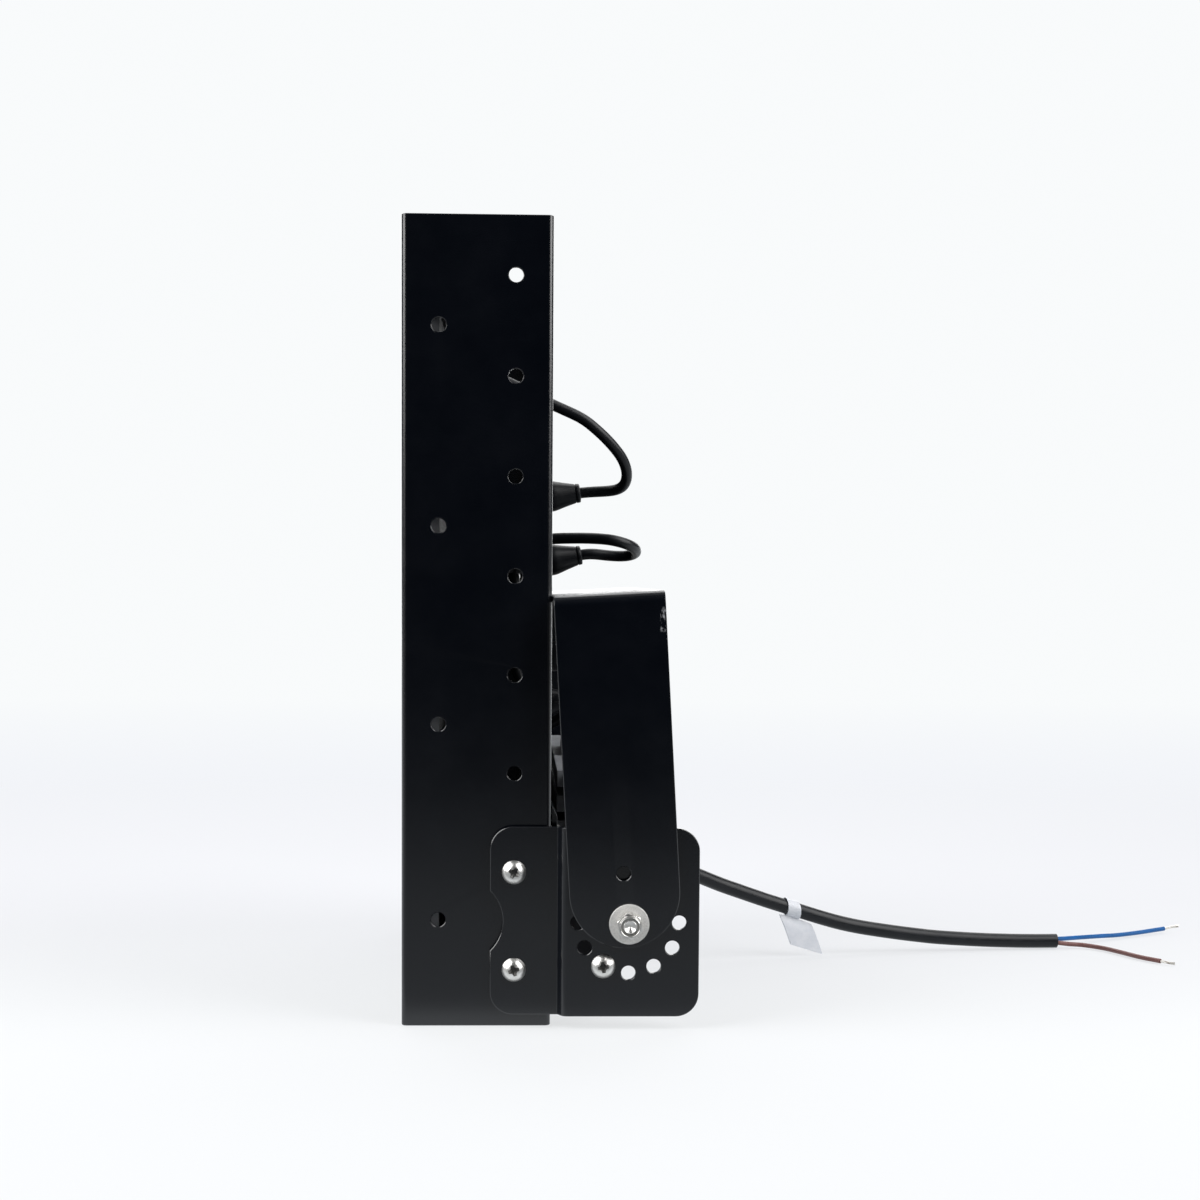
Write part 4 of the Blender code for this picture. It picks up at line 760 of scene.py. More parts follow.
def tube_curve(name, points, diameter):
    """A smooth round tube with closed ends along the points."""
    curve = bpy.data.curves.new(name, "CURVE")
    curve.dimensions = "3D"
    curve.bevel_depth = diameter / 2
    curve.bevel_resolution = 8
    curve.use_fill_caps = True
    spline = curve.splines.new("POLY")
    spline.points.add(len(points) - 1)
    spline.use_smooth = True
    for point, co in zip(spline.points, points):
        point.co = (*co, 1.0)
    return add_object(name, curve)


def add_cords():
    """The free supply cord, the two cores that leave its sheath, and their bare strands."""
    cord_points = [place(*CORD_ROUTE[0])] + smooth_points(CORD_ROUTE[1:], CORD_STEP)
    cord = tube_curve("cord_sheath", cord_points, CORD)
    finish_piece(cord, "black_rubber", ["supply_cord"])
    tag = add_tag()
    for color, route, tip_route in (("blue", BLUE_ROUTE, BLUE_TIP_ROUTE),
                                    ("brown", BROWN_ROUTE, BROWN_TIP_ROUTE)):
        points = [place(*route[0])] + smooth_points(route[1:], CORE_STEP)
        core = tube_curve(color + "_insulation", points, CORE)
        finish_piece(core, color + "_core", [color + "_core"])
        strands = add_strands(color + "_strands", tip_route)


def add_strands(name, route):
    """Bare strands twisted round each other at a core's end."""
    shell = bmesh.new()
    line = smooth_points(route, TIP_STEP)
    for k in range(STRANDS):
        reach = TIP / 2 - STRAND if k else 0.0
        spread = 1 + STRAND_SPREAD * sin(2.4 * k)
        for_strand = []
        for n, point in enumerate(line):
            share = n / (len(line) - 1)
            turn = k * pi / 3 + share * STRAND_TWIST
            wide = reach * (1 + share * 0.5 * (spread - 1))
            for_strand.append(point + Vector((0.35 * cos(turn), 0.5 * cos(turn), sin(turn))) * wide)
        cut = len(for_strand) - k % 3
        add_sweep(shell, for_strand[:cut], [STRAND] * cut, 6)
    return add_piece(name, shell, "tinned")


def add_sweep(shell, line, radii, sides=20, ways=None):
    """A round tube of changing radius along a line of points."""
    across = Vector((0.03, 1.0, 0.05))
    rings = []
    for k, (point, radius) in enumerate(zip(line, radii)):
        way = (line[min(k + 1, len(line) - 1)] - line[max(k - 1, 0)]).normalized()
        if ways and ways[k]:
            way = ways[k]
        across = (across - way * across.dot(way)).normalized()
        over = way.cross(across)
        steps = [2 * pi * step / sides for step in range(sides)]
        rings.append([point + across * radius * cos(a) + over * radius * sin(a) for a in steps])
    add_skin(shell, [[line[0]]] + rings + [[line[-1]]])


def add_tag():
    """A label folded round the cord, its two ends stuck together as a bare flag."""
    here = place(*CORD_ROUTE[TAG_POINT])
    along = (Vector(CORD_ROUTE[TAG_POINT + 1]) - Vector(CORD_ROUTE[TAG_POINT - 1])).normalized()
    side = along.cross(Vector((0.0, 0.0, 1.0))).normalized()
    up = side.cross(along)
    inner = CORD / 2 + GAP / 2
    outer = inner + TAG_SHEET
    foot = -outer - TAG_DROP
    opening = 180 * asin(TAG_SHEET / outer) / pi
    outline = arc((0.0, 0.0), outer, -90 + opening, 270 - opening, 40)
    rows = 10
    left = [(-TAG_SHEET, -outer - TAG_SHEET + (foot + outer + TAG_SHEET) * k / rows) for k in range(rows + 1)]
    right = [(-x, y) for x, y in left[::-1]]
    shell = plate(outline + left + right, [circle((0.0, 0.0), inner)], -TAG_BAND / 2, TAG_BAND / 2)
    tilt = Matrix.Rotation(radians(TAG_TILT), 4, "Z")
    for vert in shell.verts:
        drop = max(-outer - vert.co.y, 0.0)
        if drop > 0.0:
            vert.co.z = vert.co.z * TAG_WIDTH / TAG_BAND + TAG_OFFSET
        vert.co.z += drop * TAG_SHEAR_SHARE - max(vert.co.y, -outer) * BAND_SHEAR_SHARE
        vert.co.x += TAG_WAVE * sin(drop * TAG_WAVES)
        vert.co = tilt @ vert.co
        vert.co = here + side * vert.co.x + up * vert.co.y + along * vert.co.z
    return add_piece("cord_label", shell, "white_label", ["cord_tag"])


def module_height(index):
    return END_MARGIN + MODULE_PITCH * (index + 0.5)


def rear_holes():
    return [(REAR_HOLE_X, END_MARGIN + HOLE_PITCH * (k + 0.5)) for k in range(2 * MODULE_COUNT)]


def lock_places():
    angles = [radians(-LOCK_STEP * k) for k in range(LOCK_HOLES)]
    return [(PIVOT_X + LOCK_RADIUS * cos(a), PIVOT_Z + LOCK_RADIUS * sin(a)) for a in angles]


def module_screw_places():
    rise = (HEATSINK_HIGH.z - HEATSINK_LOW.z) / 2 - RIM_WIDTH / 2
    middle = FRAME_SIDE - (FLANGE + SHEET) / 2
    return [(middle, module_height(m) + end * rise) for m in range(MODULE_COUNT) for end in (-1, 1)]


def plate_screw_places():
    middle = (FRAME_SIDE - FLANGE + PLATE_HIGH.y) / 2
    return [(middle, PLATE_LOW.z + PLATE_SCREW_RISE), (middle, PLATE_HIGH.z - PLATE_SCREW_RISE)]


def add_side_frame(name, side):
    """A channel bent from one flat sheet, with fillets at its bends and crisp round holes."""
    middle = BEND - SHEET / 2
    bend = middle * pi / 2
    flat = FLANGE - BEND
    web = FRAME_DEPTH - 2 * BEND
    total = 2 * (flat + bend) + web
    start = flat + bend - BEND
    holes = [circle((start + x, z), SPARE_HOLE / 2) for x, z in rear_holes()]
    holes += [circle((start + HOLE_EDGE, module_height(m)), SPARE_HOLE / 2) for m in range(MODULE_COUNT)]
    flange_tip = FRAME_SIDE - FLANGE
    holes += [circle((y - flange_tip, z), SMALL_HEAD / 2 + 2 * GAP) for y, z in module_screw_places()]
    rear = [(total - (y - flange_tip), z) for y, z in plate_screw_places()]
    holes += [circle(spot, PLATE_SCREW_HOLE / 2) for spot in rear]
    outline = rectangle((0.0, 0.0), (total, FRAME_HEIGHT))
    shell = bent_twice(outline, holes, SHEET, (FRONT + SHEET / 2, flange_tip), flat, bend, web)
    for vert in shell.verts:
        vert.co.y *= side
    add_piece("frame_channel_" + name, shell, "black_coat", ["side_frame_" + name])
    rim = M5_NUT_CORNER - 0.0005
    hexes = [(rim, 0.0), (M5_NUT_CORNER, 0.0004), (M5_NUT_CORNER, 0.0036), (rim, HEX_RISE)]
    for index, (x, z) in enumerate(rear_holes()[:2]):
        nut = bmesh.new()
        seat = facing((FRONT + x, side * (FRAME_SIDE - SHEET), z), (0.0, -side, 0.0))
        add_skin(nut, hexagon_rings(M5_NUT, hexes), seat)
        close_ends(nut)
        add_piece("weld_nut_%s_%d" % (name, index), nut, "stainless")


def bent_twice(outline, holes, thick, start, flat, bend, base):
    """A plate laid with its thickness along y and its height along z, then bent to a channel."""
    shell = plate(outline, holes, -thick / 2, thick / 2, edge=EDGE)
    for vert in shell.verts:
        vert.co.y, vert.co.z = vert.co.z, vert.co.y
    fold(shell, start, 90, [(flat, 0), (bend, -90), (base, 0), (bend, -90), (flat, 0)])
    return shell


def close_ends(shell):
    """Fills the two open rims of a skin."""
    rims = [edge for edge in shell.edges if edge.is_boundary]
    bmesh.ops.holes_fill(shell, edges=rims, sides=0)


def bracket_outline():
    """The bracket's outline, with the waist notch in its front edge."""
    low, high = BRACKET_LOW.z, BRACKET_HIGH.z
    front, back = BRACKET_LOW.x - FRONT, BRACKET_HIGH.x - FRONT
    corner = BRACKET_CORNER
    radius = (NOTCH_HEIGHT ** 2 / 4 + NOTCH_DEPTH ** 2) / (2 * NOTCH_DEPTH)
    sweep = 90 - 180 * atan2(radius - NOTCH_DEPTH, NOTCH_HEIGHT / 2) / pi
    notch = (front + NOTCH_DEPTH - radius, PIVOT_Z)
    outline = arc((back - corner, high - corner), corner, 0, 90, 12)
    outline += arc((front + corner, high - corner), corner, 90, 180, 12)
    outline += arc(notch, radius, sweep, -sweep, 20)
    outline += arc((front + corner, low + corner), corner, 180, 270, 12)
    outline += arc((back - corner, low + corner), corner, 270, 360, 12)
    return outline


def add_bracket(name, side):
    """A flat plate with its holes, then stepped outwards behind the side frame."""
    holes = [circle(spot, BRACKET_SCREW_HOLE / 2) for spot in rear_holes()[:2]]
    holes += [circle(spot, SPARE_HOLE / 2) for spot in lock_places()]
    holes.append(circle((PIVOT_X, PIVOT_Z), PIVOT_HOLE / 2))
    shell = plate(bracket_outline(), holes, -BRACKET_SHEET / 2, BRACKET_SHEET / 2, "y", EDGE)
    front = BRACKET_LOW.x - FRONT
    start = FRAME_DEPTH + STEP_START
    turn = radians(STEP_TURN)
    bend = STEP_BEND * turn
    slope = (STEP_DEPTH - 2 * STEP_BEND * (1 - cos(turn))) / sin(turn)
    run = 2 * STEP_BEND * sin(turn) + slope * cos(turn)
    length = 2 * bend + slope
    slice_at(shell, [start, start + run])
    for vert in shell.verts:
        past = vert.co.x - start
        if past > 0:
            past = past * length / run if past < run else past + length - run
        vert.co.x = start + past - front
    rest = BRACKET_HIGH.x - BRACKET_LOW.x
    segments = [(start - front, 0), (bend, STEP_TURN), (slope, 0), (bend, -STEP_TURN), (rest, 0)]
    fold(shell, (BRACKET_LOW.x, FRAME_SIDE + GAP + BRACKET_SHEET / 2), 0, segments)
    for vert in shell.verts:
        vert.co.y *= side
    add_piece("bracket_plate_" + name, shell, "black_coat", ["bracket_" + name])


def yoke_lean():
    edge = YOKE_BAR / 2 + YOKE_SHIFT
    back = PIVOT_X - FRAME_DEPTH
    return asin((back - GAP) / hypot(YOKE_REACH, edge)) - atan2(edge, YOKE_REACH)


def add_yoke():
    """One flat bar with round ends and holes, bent into a U and leant forward on its pivot."""
    middle = YOKE_BEND - YOKE_SHEET / 2
    bend = middle * pi / 2
    base = 2 * (ARM_OUTER - YOKE_BEND)
    arm = YOKE_REACH - YOKE_BEND
    low_end = YOKE_ROUND_RISE - YOKE_BAR / 2
    total = 2 * (arm - low_end + bend) + base
    half = YOKE_BAR / 2
    outline = arc((half, 0.0), half, 270, 90, 40) + arc((total - half, 0.0), half, 90, -90, 40)
    centre = total / 2
    holes = [circle((centre, 0.0), YOKE_CENTRE_HOLE / 2)]
    holes += [circle((centre + side * YOKE_SIDE_SPACING, 0.0), YOKE_SIDE_HOLE / 2) for side in (-1, 1)]
    for end, way in ((0.0, 1), (total, -1)):
        holes.append(circle((end - way * low_end, YOKE_SHIFT), PIVOT_HOLE / 2))
        holes.append(circle((end + way * (LOCK_RADIUS - low_end), 0.0), SPARE_HOLE / 2))
    start = (YOKE_SHEET / 2 - ARM_OUTER, low_end)
    shell = bent_twice(outline, holes, YOKE_SHEET, start, arm - low_end, bend, base)
    lean = Matrix.Rotation(-yoke_lean(), 4, "Y")
    pivot = place(PIVOT_X, 0.0, PIVOT_Z)
    for vert in shell.verts:
        upright = Vector((vert.co.z - YOKE_SHIFT, vert.co.x, vert.co.y))
        vert.co = pivot + lean @ upright
    add_piece("yoke_bar", shell, "worn_coat", ["yoke"], "yoke")


def pan_head(across, rise, recess):
    """A pan-head screw's head with a cross recess, as a mesh standing on z zero."""
    radius = across / 2
    skirt = rise * 0.14
    crown = (radius ** 2 + (rise - skirt) ** 2) / (2 * (rise - skirt))
    span = asin(radius / crown)
    profile = [(0.0, -0.0002), (radius * 0.93, -0.0002), (radius * 0.985, 0.0), (radius, rise * 0.05)]
    for k in range(12):
        a = span * (1 - k / 12)
        profile.append((crown * sin(a), rise - crown * (1 - cos(a))))
    profile.append((0.0, rise))
    shell = bmesh.new()
    add_skin(shell, turned(profile, 48))
    cross = bmesh.new()
    wide, deep, arm = recess
    levels = [(0.30, rise - deep), (0.86, rise - deep * 0.45), (1.0, rise + deep * 0.2)]
    outline = cross_outline(wide, arm)
    add_skin(cross, capped([[(x * share, y * share, height) for x, y in outline] for share, height in levels]))
    head, cutter = (add_object("form", closed_mesh("form", form)) for form in (shell, cross))
    # The cutter's own material marks the recess's faces, which then get painted shade
    head.data.materials.append(MATERIALS["stainless"])
    cutter.data.materials.append(MATERIALS["tinned"])
    modifier = head.modifiers.new("recess", "BOOLEAN")
    modifier.object = cutter
    modifier.solver = "EXACT"
    modifier.material_mode = "TRANSFER"
    result = bpy.data.meshes.new_from_object(head.evaluated_get(bpy.context.evaluated_depsgraph_get()))
    for made in (head, cutter):
        bpy.data.objects.remove(made)
    # A face attribute of 1 on recess faces, which the steel turns into painted shade
    soil = result.attributes.new("soil", "FLOAT", "FACE")
    for face in result.polygons:
        soil.data[face.index].value = float(face.material_index > 0)
        face.material_index = 0
    result.materials.clear()
    return result


def flat_head(across, rise):
    """A flush countersunk head without its recess, as a mesh standing on z zero."""
    radius = across / 2
    shell = bmesh.new()
    shank = radius * 0.45
    add_skin(shell, turned([(0.0, -0.002), (shank, -0.002), (shank, 0.0), (radius, rise), (0.0, rise)]))
    return closed_mesh("flat_head", shell)


def cross_outline(wide, arm):
    """A cross with concave shoulders."""
    half = wide / 2
    slim = arm / 2
    quarter = [(half, slim), (slim * 1.9, slim * 1.15), (slim * 1.15, slim * 1.9), (slim, half)]
    points = []
    for turn in range(4):
        a = turn * pi / 2
        points += [(x * cos(a) - y * sin(a), x * sin(a) + y * cos(a)) for x, y in quarter]
    return points


def add_heads(name, mesh, spots, nodes=()):
    """One piece of screw heads, each from (point, direction, spin)."""
    shell = bmesh.new()
    for spot in spots:
        copy = mesh.copy()
        copy.transform(facing(*spot))
        shell.from_mesh(copy)
        bpy.data.meshes.remove(copy)
    add_piece(name, shell, "stainless", nodes, sharp=24)


def add_screw(kind, tail, node, spot, side, seat, spin):
    """A pan-head screw's head and its shank with thread ridges, in place of its node."""
    x, z = spot
    outward = (0.0, side, 0.0)
    add_heads("%s_head_%s" % (kind, tail), PAN_M5, [((FRONT + x, side * seat, z), outward, spin)], [node])
    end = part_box(node)[0 if side > 0 else 1].y
    length = seat - abs(end)
    profile = [(0.0, 0.0), (THREAD_ROOT - 0.0002, 0.0)]
    for k in range(int(length / THREAD_PITCH)):
        profile += [(THREAD_CREST, THREAD_PITCH * (k + 0.35)), (THREAD_ROOT, THREAD_PITCH * (k + 0.85))]
    profile += [(0.0024, length + GAP), (0.0, length + GAP)]
    place_end = facing((FRONT + x, end, z), outward)
    skin_piece("%s_thread_%s" % (kind, tail), turned(profile, 20), place_end, "stainless")


def add_bracket_screws(name, side):
    """The two screws that hold a bracket, and the stored lock screw with its nut."""
    spins = {-1: (18, 62, 8), 1: (40, 5, 75)}[side]
    for level, spot, spin in zip(("low", "high"), rear_holes(), spins):
        tail = name + "_" + level
        add_screw("screw", tail, "bracket_screw_" + tail, spot, side, BRACKET_FACE, spin)
    x, z = lock_places()[STORED_LOCK]
    add_screw("lock", name, "lock_screw_" + name, (x, z), side, STEPPED_FACE, spins[2])
    low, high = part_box("lock_nut_" + name)
    height = high.y - low.y
    bore, mouth, rim, corner = 0.0026, 0.0031, 0.0041, M5_NUT_CORNER
    profile = [(bore, 0.0005), (mouth, 0.0), (rim, 0.0), (corner, 0.0006), (corner, height - 0.0006),
               (rim, height), (mouth, height), (bore, height - 0.0005), (bore, 0.0005)]
    seat = facing((FRONT + x, (low.y if side > 0 else high.y), z), (0.0, side, 0.0))
    rings = hexagon_rings(M5_NUT, profile)
    skin_piece("lock_nut_hex_" + name, rings, seat, "stainless", ["lock_nut_" + name])


def add_pivot(name, side):
    """The pivot's bolt with its hollow end, the washer and the lock nut with its round collar."""
    def seat(low, high, spin=0.0):
        inner = side * min(abs(low.y), abs(high.y))
        return facing((PIVOT_X + FRONT, inner, PIVOT_Z), (0.0, side, 0.0), spin)

    thick = WASHER_HIGH.y - WASHER_LOW.y
    edge = WASHER_EDGE
    rim = (WASHER_HIGH.x - WASHER_LOW.x) / 2
    hole = PIVOT_HOLE / 2
    profile = [(hole, edge), (hole + edge, 0.0), (rim - edge, 0.0), (rim, edge), (rim, thick - edge),
               (rim - edge, thick), (hole + edge, thick), (hole, thick - edge), (hole, edge)]
    skin_piece("washer_" + name, turned(profile, 64), seat(WASHER_LOW, WASHER_HIGH), "satin_steel",
               ["pivot_washer_" + name])
    rise = NUT_HIGH.y - NUT_LOW.y
    corner = HEX_CORNER
    hexes = [(HEX_ACROSS * 0.46, 0.0), (HEX_ACROSS * 0.5, 0.0002), (corner, 0.0007), (corner, 0.0048),
             (HEX_ACROSS * 0.54, 0.0050), (HEX_ACROSS * 0.5, 0.00515), (HEX_ACROSS * 0.465, 0.0052)]
    collar = HEX_ACROSS * COLLAR_SHARE / 2
    mouth = [(0.985, 0.0054), (1.0, 0.0058), (1.0, rise - 0.0009), (0.985, rise - 0.0004),
             (0.95, rise - 0.0001), (0.91, rise), (0.875, rise - 0.0001), (0.85, rise - 0.0004),
             (0.80, rise - 0.0009), (0.73, rise - 0.0012)]
    rings = turned([(NUT_BORE, 0.0)], 60) + hexagon_rings(HEX_ACROSS, hexes)
    rings += turned([(collar * share, height) for share, height in mouth], 60)
    rings += turned([(NUT_BORE, rise - 0.00125), (NUT_BORE, 0.0)], 60)
    skin_piece("lock_nut_hex_pivot_" + name, rings, seat(NUT_LOW, NUT_HIGH, NUT_TURN), "stainless",
               ["pivot_nut_" + name], sharp=24)
    head = [(corner * 0.87, 0.0), (corner, 0.0006), (corner, 0.0037), (corner * 0.95, HEX_RISE)]
    length = BOLT_HIGH.y - BOLT_LOW.y
    end = [(BOLT_RADIUS, HEX_RISE), (BOLT_RADIUS, length - 0.0004), (0.0028, length - 0.0001),
           (0.0026, length), (0.00245, length - 0.0001), (0.0001, length - 0.0014), (0.0, length - 0.0014)]
    rings = POLE + hexagon_rings(HEX_ACROSS, head) + turned(end, 60)
    skin_piece("hex_bolt_" + name, rings, seat(BOLT_LOW, BOLT_HIGH), "stainless", ["pivot_bolt_" + name],
               sharp=24)


def add_leads():
    """Module leads with moulded plugs, and driver leads with moulded sockets."""
    routes = [BOTTOM_LEAD_ROUTE, LOWER_LEAD_ROUTE, UPPER_LEAD_ROUTE, TOP_LEAD_ROUTE]
    onward = [BOTTOM_DRIVER_ROUTE, LOWER_DRIVER_ROUTE, UPPER_DRIVER_ROUTE, TOP_DRIVER_ROUTE]
    for number, plug_route, socket_route in zip(MODULES, routes, onward):
        add_lead("lead_with_plug_%d" % number, plug_route, [], PLUG, PLUG_LENGTH, "module_lead_%d" % number)
        add_lead("lead_with_socket_%d" % number, socket_route, SOCKET, [], SOCKET_LENGTH,
                 "driver_lead_%d" % number)


def relaxed(points, rounds):
    """The same line with its small wiggles eased out, its two ends held."""
    for _ in range(rounds):
        eased = [(a + 2 * b + c) / 4 for a, b, c in zip(points[1:], points[2:], points[3:])]
        points = points[:2] + eased + points[-2:]
    return points


def add_lead(name, route, before, after, length, node):
    """A lead along its route, with a connector before its first point or after its last."""
    points = relaxed(smooth_points(route, LEAD_STEP), LEAD_ROUNDS)
    start = (place(*route[0]) - place(*route[1])).normalized()
    end = (place(*route[-1]) - place(*route[-2])).normalized()
    head, tail = [[(GAP + along * (length - GAP), CONNECTOR / 2 * across) for along, across in profile]
                  for profile in (before[::-1], after)]
    line = [points[0] + start * along for along, _ in head] + points
    line += [points[-1] + end * along for along, _ in tail]
    radii = [radius for _, radius in head] + [LEAD / 2] * len(points) + [radius for _, radius in tail]
    ways = [-start] * (len(head) + 1) + [None] * (len(points) - 2) + [end] * (len(tail) + 1)
    shell = bmesh.new()
    add_sweep(shell, line, radii, LEAD_SIDES, ways)
    add_piece(name, shell, "black_rubber", [node], sharp=40)


def seat_behind(low, high):
    """A placement at the middle of a box's front face, its height towards the back."""
    return facing((low.x, (low.y + high.y) / 2, (low.z + high.z) / 2), BACKWARD)


def gland_nut(low, height):
    """A gland above its hexagon: neck, fluted nut and rounded mouth, closed at its top."""
    wide, mouth = GLAND_NUT, LEAD / 2
    nut = [(wide, 0.38), (wide * 1.06, 0.42), (wide * 1.06, 0.70), (wide * 0.92, 0.84), (mouth * 1.3, 0.96)]
    profile = [(wide, low)] + [(radius, height * share) for radius, share in nut]
    return turned(profile + [(mouth * 1.12, height), (0.0, height)], 72, 18, 0.06)


def add_module_glands():
    hexes = [(0.0064, 0.0), (0.0069, 0.0005), (0.0069, 0.0036), (0.0063, GLAND_HEX_RISE)]
    for number in MODULES:
        low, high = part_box("module_gland_%d" % number)
        seat = seat_behind(low, high)
        shell = bmesh.new()
        add_skin(shell, POLE + hexagon_rings(MODULE_GLAND_HEX, hexes), seat)
        add_skin(shell, gland_nut(GLAND_HEX_RISE, high.x - low.x), seat)
        close_ends(shell)
        add_piece("gland_nut_%d" % number, shell, "black_plastic", ["module_gland_%d" % number])


def add_driver_glands():
    """A moulded strip with four fluted glands, and the supply cord's gland with its tapered sleeve."""
    low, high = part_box("driver_glands")
    shell = bmesh.new()
    add_plate(shell, rectangle((low.x, low.y), (high.x, high.y)), [], low.z, low.z + STRIP_RISE)
    pitch = (high.y - low.y - (high.x - low.x)) / (MODULE_COUNT - 1)
    for k in range(MODULE_COUNT):
        middle = ((low.x + high.x) / 2, low.y + (high.x - low.x) / 2 + pitch * k, low.z)
        rings = [[(0.0, 0.0, NECK_RISE)]] + gland_nut(NECK_RISE, high.z - low.z)
        add_skin(shell, rings, facing(middle, (0.0, 0.0, 1.0)))
    add_bevel(add_piece("gland_strip", shell, "black_plastic", ["driver_glands"]), STRIP_BEVEL)
    low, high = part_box("supply_gland")
    length = high.x - low.x
    seat = seat_behind(low, high)
    gland = bmesh.new()
    hexes = [(0.0090, 0.0), (0.0097, 0.0006), (0.0097, 0.0044), (0.0088, SUPPLY_HEX_RISE)]
    wide = SUPPLY_NUT
    nut = [(wide, SUPPLY_HEX_RISE), (wide, length * 0.40), (wide * 0.95, length * 0.44),
           (wide * 0.84, length * 0.50)]
    add_skin(gland, POLE + hexagon_rings(SUPPLY_GLAND_HEX, hexes), seat)
    add_skin(gland, turned(nut, 72, 18, 0.05), seat)
    sleeve = [(wide * 0.80, length * 0.50)]
    for k in range(SLEEVE_RIBS):
        along = length * (0.54 + 0.085 * k)
        thick = wide * (0.79 - 0.055 * k)
        groove = thick - SLEEVE_GROOVE
        sleeve += [(thick, along), (thick, along + length * 0.05), (groove, along + length * 0.055),
                   (groove, along + length * 0.08)]
    sleeve += [(CORD / 2 + GAP, length), (0.0, length)]
    add_skin(gland, turned(sleeve, 48), seat)
    close_ends(gland)
    add_piece("supply_gland_nut", gland, "black_plastic", ["supply_gland"])


def add_lens_plate(number):
    """A clear plate with its round lens domes, and the LEDs on the board behind them."""
    low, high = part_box("lens_plate_%d" % number)
    front = high.x - LENS_SHEET
    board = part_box("led_board_%d" % number)[0].x
    shell = plate(rectangle((low.y, low.z), (high.y, high.z)), [], front, high.x, "x")
    leds = bmesh.new()
    chips = bmesh.new()
    rise = front - low.x
    dome = [(0.0, -DOME_SEAT), (DOME_RADIUS + DOME_SEAT, -DOME_SEAT), (DOME_RADIUS, 0.0002)]
    dome += [(DOME_RADIUS * cos(radians(10 * n)), DOME_SEAT + (rise - DOME_SEAT) * sin(radians(10 * n)))
             for n in range(1, 9)]
    dome = turned(dome + [(0.0, rise)], 40)
    corners = rectangle((-LED_HALF, -LED_HALF), (LED_HALF, LED_HALF))
    led = capped([[(x, y, height) for x, y in corners] for height in (0.0, LED_RISE)])
    chip = turned(CHIP, 24)
    for k in range(LENS_COLUMNS):
        for end in (-1, 1):
            y = LENS_PITCH * (k - (LENS_COLUMNS - 1) / 2)
            z = module_height(number - 1) + end * LENS_ROW
            add_skin(shell, dome, facing((front, y, z), FORWARD))
            base = facing((board, y, z), FORWARD)
            add_skin(leds, led, base)
            add_skin(chips, chip, base)
    add_piece("lens_sheet_%d" % number, shell, "clear_plastic", ["lens_plate_%d" % number])
    add_piece("led_bodies_%d" % number, leds, "board")
    add_piece("led_chips_%d" % number, chips, "phosphor")


def lens_screw_places():
    y = LENS_HIGH.y - LENS_BAND / 2
    z = (LENS_HIGH.z - LENS_LOW.z) / 2 - LENS_BAND / 2
    return [(side * y, end * z) for side in (-1, 0, 1) for end in (-1, 1)]


def add_small_screws():
    """Screws that have only their holes in the frame, each turned its own way: those of the lens plates, the
    modules, the driver's plate and its caps."""
    def on_both_sides(x, places, way, spin):
        return [((x, side * y, z), way, spin * n) for side in (-1, 1) for n, (y, z) in enumerate(places)]

    lens = [((LENS_HIGH.x - LENS_SHEET, y, module_height(m) + z), FORWARD, 17 * (n + m))
            for m in range(MODULE_COUNT) for n, (y, z) in enumerate(lens_screw_places())]
    add_heads("lens_screws", PAN_M3, lens)
    flush = on_both_sides(FRONT + SMALL_RISE + FLUSH_SINK, module_screw_places(), FORWARD, 23)
    add_heads("module_screws", FLAT_M4, flush)
    add_heads("plate_screws", PAN_M4, on_both_sides(PLATE_HIGH.x, plate_screw_places(), BACKWARD, 31))
    caps = []
    for side, node in ((-1, "driver_cap_left"), (1, "driver_cap_right")):
        low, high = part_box(node)
        face = high.y if side > 0 else low.y
        for end in (-1, 1):
            z = (low.z + high.z) / 2 + end * (high.z - low.z) * CAP_SCREW_SHARE
            spot = ((CASE_LOW.x + CASE_HIGH.x) / 2, face - side * CAP_SCREW_SINK, z)
            caps.append((spot, (0.0, side, 0.0), 40 * end))
    add_heads("cap_screws", PAN_M3, caps)


def dress_cad_nodes():
    """Gives the CAD nodes that stay shown their materials and soft edges."""
    finishes = {"driver_plate": "black_coat", "driver_case": "grey_cast", "driver_board": "potting",
                "driver_cap_left": "black_plastic", "driver_cap_right": "black_plastic"}
    for number in MODULES:
        finishes["heatsink_%d" % number] = "aluminium"
        finishes["led_board_%d" % number] = "board"
        finishes["lens_gasket_%d" % number] = "silicone"
    for name, finish in finishes.items():
        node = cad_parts[name]
        node.data.materials.clear()
        node.data.materials.append(MATERIALS[finish])
        node.modifiers.new("weld", "WELD").merge_threshold = 0.00001
        add_bevel(node, EDGE)


def add_light(name, spot, size, power):
    data = bpy.data.lights.new(name, "AREA")
    data.shape = "RECTANGLE"
    data.size, data.size_y = size
    data.energy = power
    light = add_object(name, data)
    turn = (Vector(LIGHT_TARGET) - Vector(spot)).to_track_quat("-Z", "Y").to_matrix().to_4x4()
    light.matrix_world = Matrix.Translation(Vector(spot)) @ turn
    light.visible_camera = False


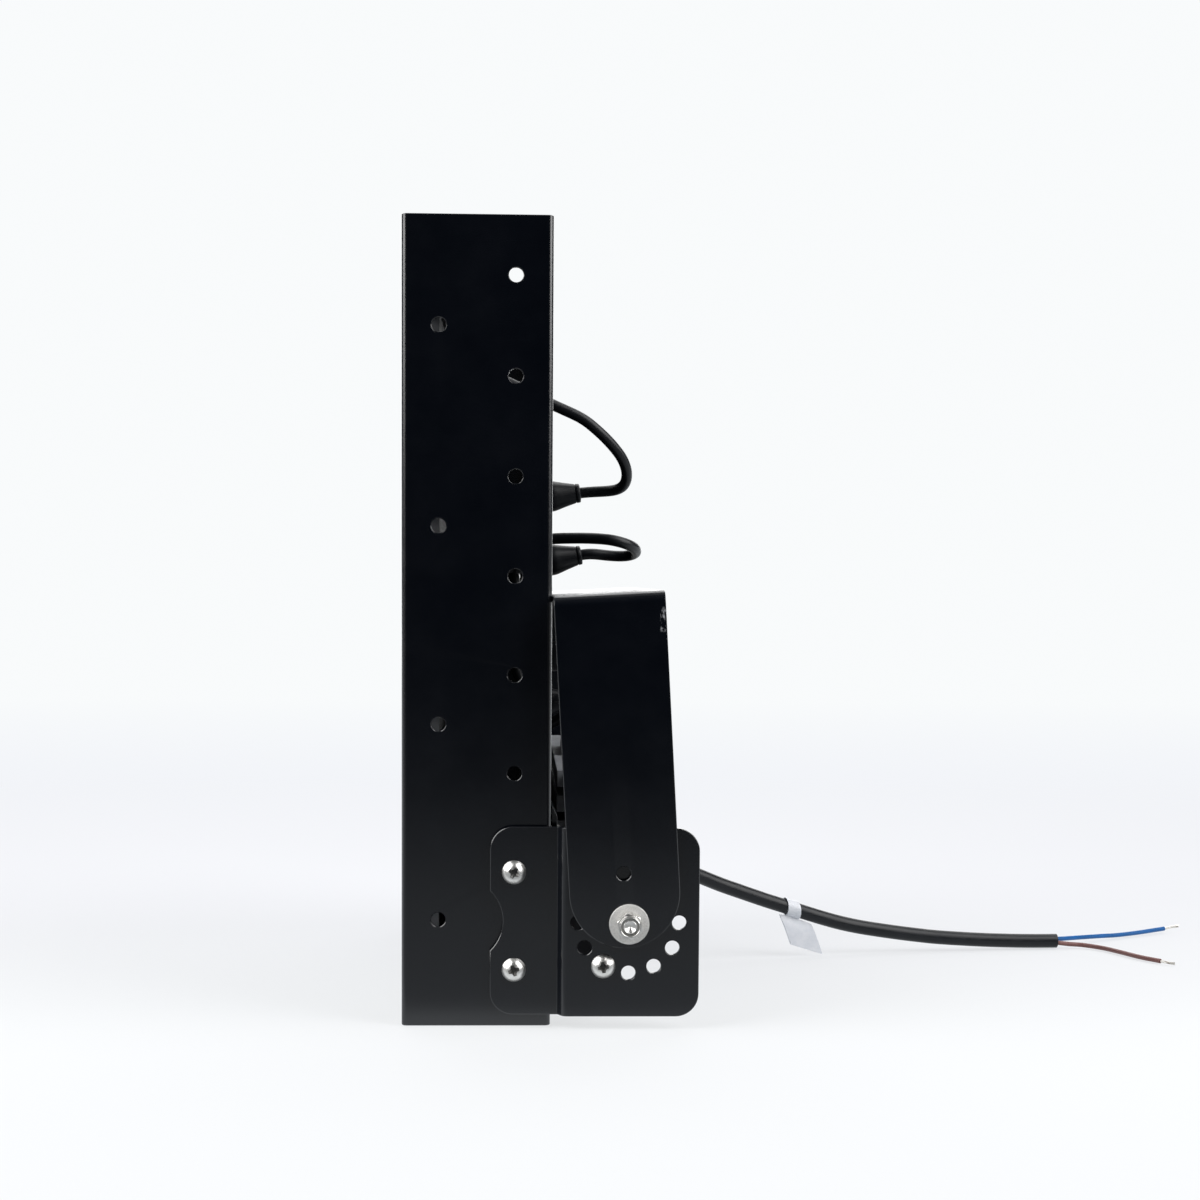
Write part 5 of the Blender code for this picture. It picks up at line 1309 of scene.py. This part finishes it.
def floor_paper():
    """Pale paper that glows: to the camera with a tone that follows its distance, darker behind the lamp as
    painted shade, and to reflections as a painted glow that is brighter aside and ends in the dark in front.
    """
    made = Nodes("floor_paper")
    x, y, _ = made.axes()
    # The camera sees a glowing tone that darkens behind the lamp: painted shade and falloff
    tone = made.add("ShaderNodeValToRGB", {"Fac": made.ramp(y, *FLOOR_TONE_SPAN)})
    stops = tone.color_ramp.elements
    stops[0].color = (*FLOOR_FRONT, 1.0)
    stops[1].color = (*BACKDROP, 1.0)
    for spot, color in FLOOR_STOPS:
        stops.new(spot).color = (*color, 1.0)
    glow = made.add("ShaderNodeEmission", {"Color": tone.outputs["Color"]})
    soft = made.mix(made.noise(900, 2, 0.5), FLOOR_PAPER, tuple(0.98 * value for value in FLOOR_PAPER))
    paper = made.add("ShaderNodeBsdfDiffuse", {"Color": soft})
    distance = made.add("ShaderNodeVectorMath", {0: made.coordinates}, operation="LENGTH").outputs["Value"]
    shadow = made.ramp(distance, *FLOOR_SHADOW_SPAN, FLOOR_SHADOW, 0.0)
    seen = made.add("ShaderNodeMixShader", {0: shadow, 1: glow.outputs[0], 2: paper.outputs[0]})
    # Reflections see a painted glow instead, brighter at the sides and dark in front
    near = made.ramp(y, FLOOR_HALF, FLOOR_CLOSE, FLOOR_GLOW, FLOOR_FOOT_GLOW)
    front = made.times(near, made.ramp(y, FLOOR_END - FLOOR_END_FADE, FLOOR_END, FLOOR_DARK, 1.0))
    aside = made.ramp(made.math("ABSOLUTE", x, 0.0), *FLOOR_ASIDE_SPAN, 1.0, FLOOR_ASIDE)
    unseen = made.add("ShaderNodeEmission", {"Color": FLOOR_BLUE, "Strength": made.times(front, aside)})
    rays = made.add("ShaderNodeLightPath").outputs["Is Camera Ray"]
    pick = made.add("ShaderNodeMixShader", {0: rays, 1: unseen.outputs[0], 2: seen.outputs[0]})
    made.fill(made.tree.nodes["Material Output"].inputs["Surface"], pick.outputs[0])
    made.tree.nodes.remove(made.shader)
    return made.material


def add_stage():
    """A white sweep: a glowing floor that stays pale, with painted shade behind the lamp, and takes soft
    shadows, and a backdrop of the same tone.
    """
    scene = bpy.context.scene
    scene.view_settings.view_transform = "Standard"
    mesh = bpy.data.meshes.new("floor")
    corners = rectangle((-FLOOR_REACH, -FLOOR_REACH), (FLOOR_REACH, FLOOR_REACH))
    mesh.from_pydata([(*corner, 0.0) for corner in corners], [], [(0, 1, 2, 3)])
    floor = add_object("floor", mesh)
    floor.location.z = -FLOOR_DROP
    mesh.materials.append(floor_paper())
    scene.world = bpy.data.worlds.new("studio")
    scene.world.use_nodes = True
    tree = scene.world.node_tree
    tree.nodes.clear()
    rays = tree.nodes.new("ShaderNodeLightPath")
    mix = tree.nodes.new("ShaderNodeMixShader")
    tree.links.new(rays.outputs["Is Camera Ray"], mix.inputs["Fac"])
    for socket, color, strength in ((1, WORLD_BLUE, WORLD_FILL), (2, BACKDROP, 1.0)):
        glow = tree.nodes.new("ShaderNodeBackground")
        glow.inputs["Color"].default_value = (*color, 1.0)
        glow.inputs["Strength"].default_value = strength
        tree.links.new(glow.outputs["Background"], mix.inputs[socket])
    output = tree.nodes.new("ShaderNodeOutputWorld")
    tree.links.new(mix.outputs["Shader"], output.inputs["Surface"])


MATERIALS = make_materials()
add_camera()
add_cords()
PAN_M5 = pan_head(SCREW_HEAD, SCREW_RISE, M5_RECESS)
PAN_M4 = pan_head(SMALL_HEAD, SMALL_RISE, M4_RECESS)
PAN_M3 = pan_head(LENS_HEAD, LENS_RISE, M3_RECESS)
FLAT_M4 = flat_head(SMALL_HEAD, SMALL_RISE)
for label, way in (("left", -1), ("right", 1)):
    add_side_frame(label, way)
    add_bracket(label, way)
    add_bracket_screws(label, way)
    add_pivot(label, way)
add_yoke()
add_leads()
add_module_glands()
add_driver_glands()
for module_number in MODULES:
    add_lens_plate(module_number)
add_small_screws()
dress_cad_nodes()
add_stage()
for light_name, light_facts in LIGHTS.items():
    add_light(light_name, *light_facts)
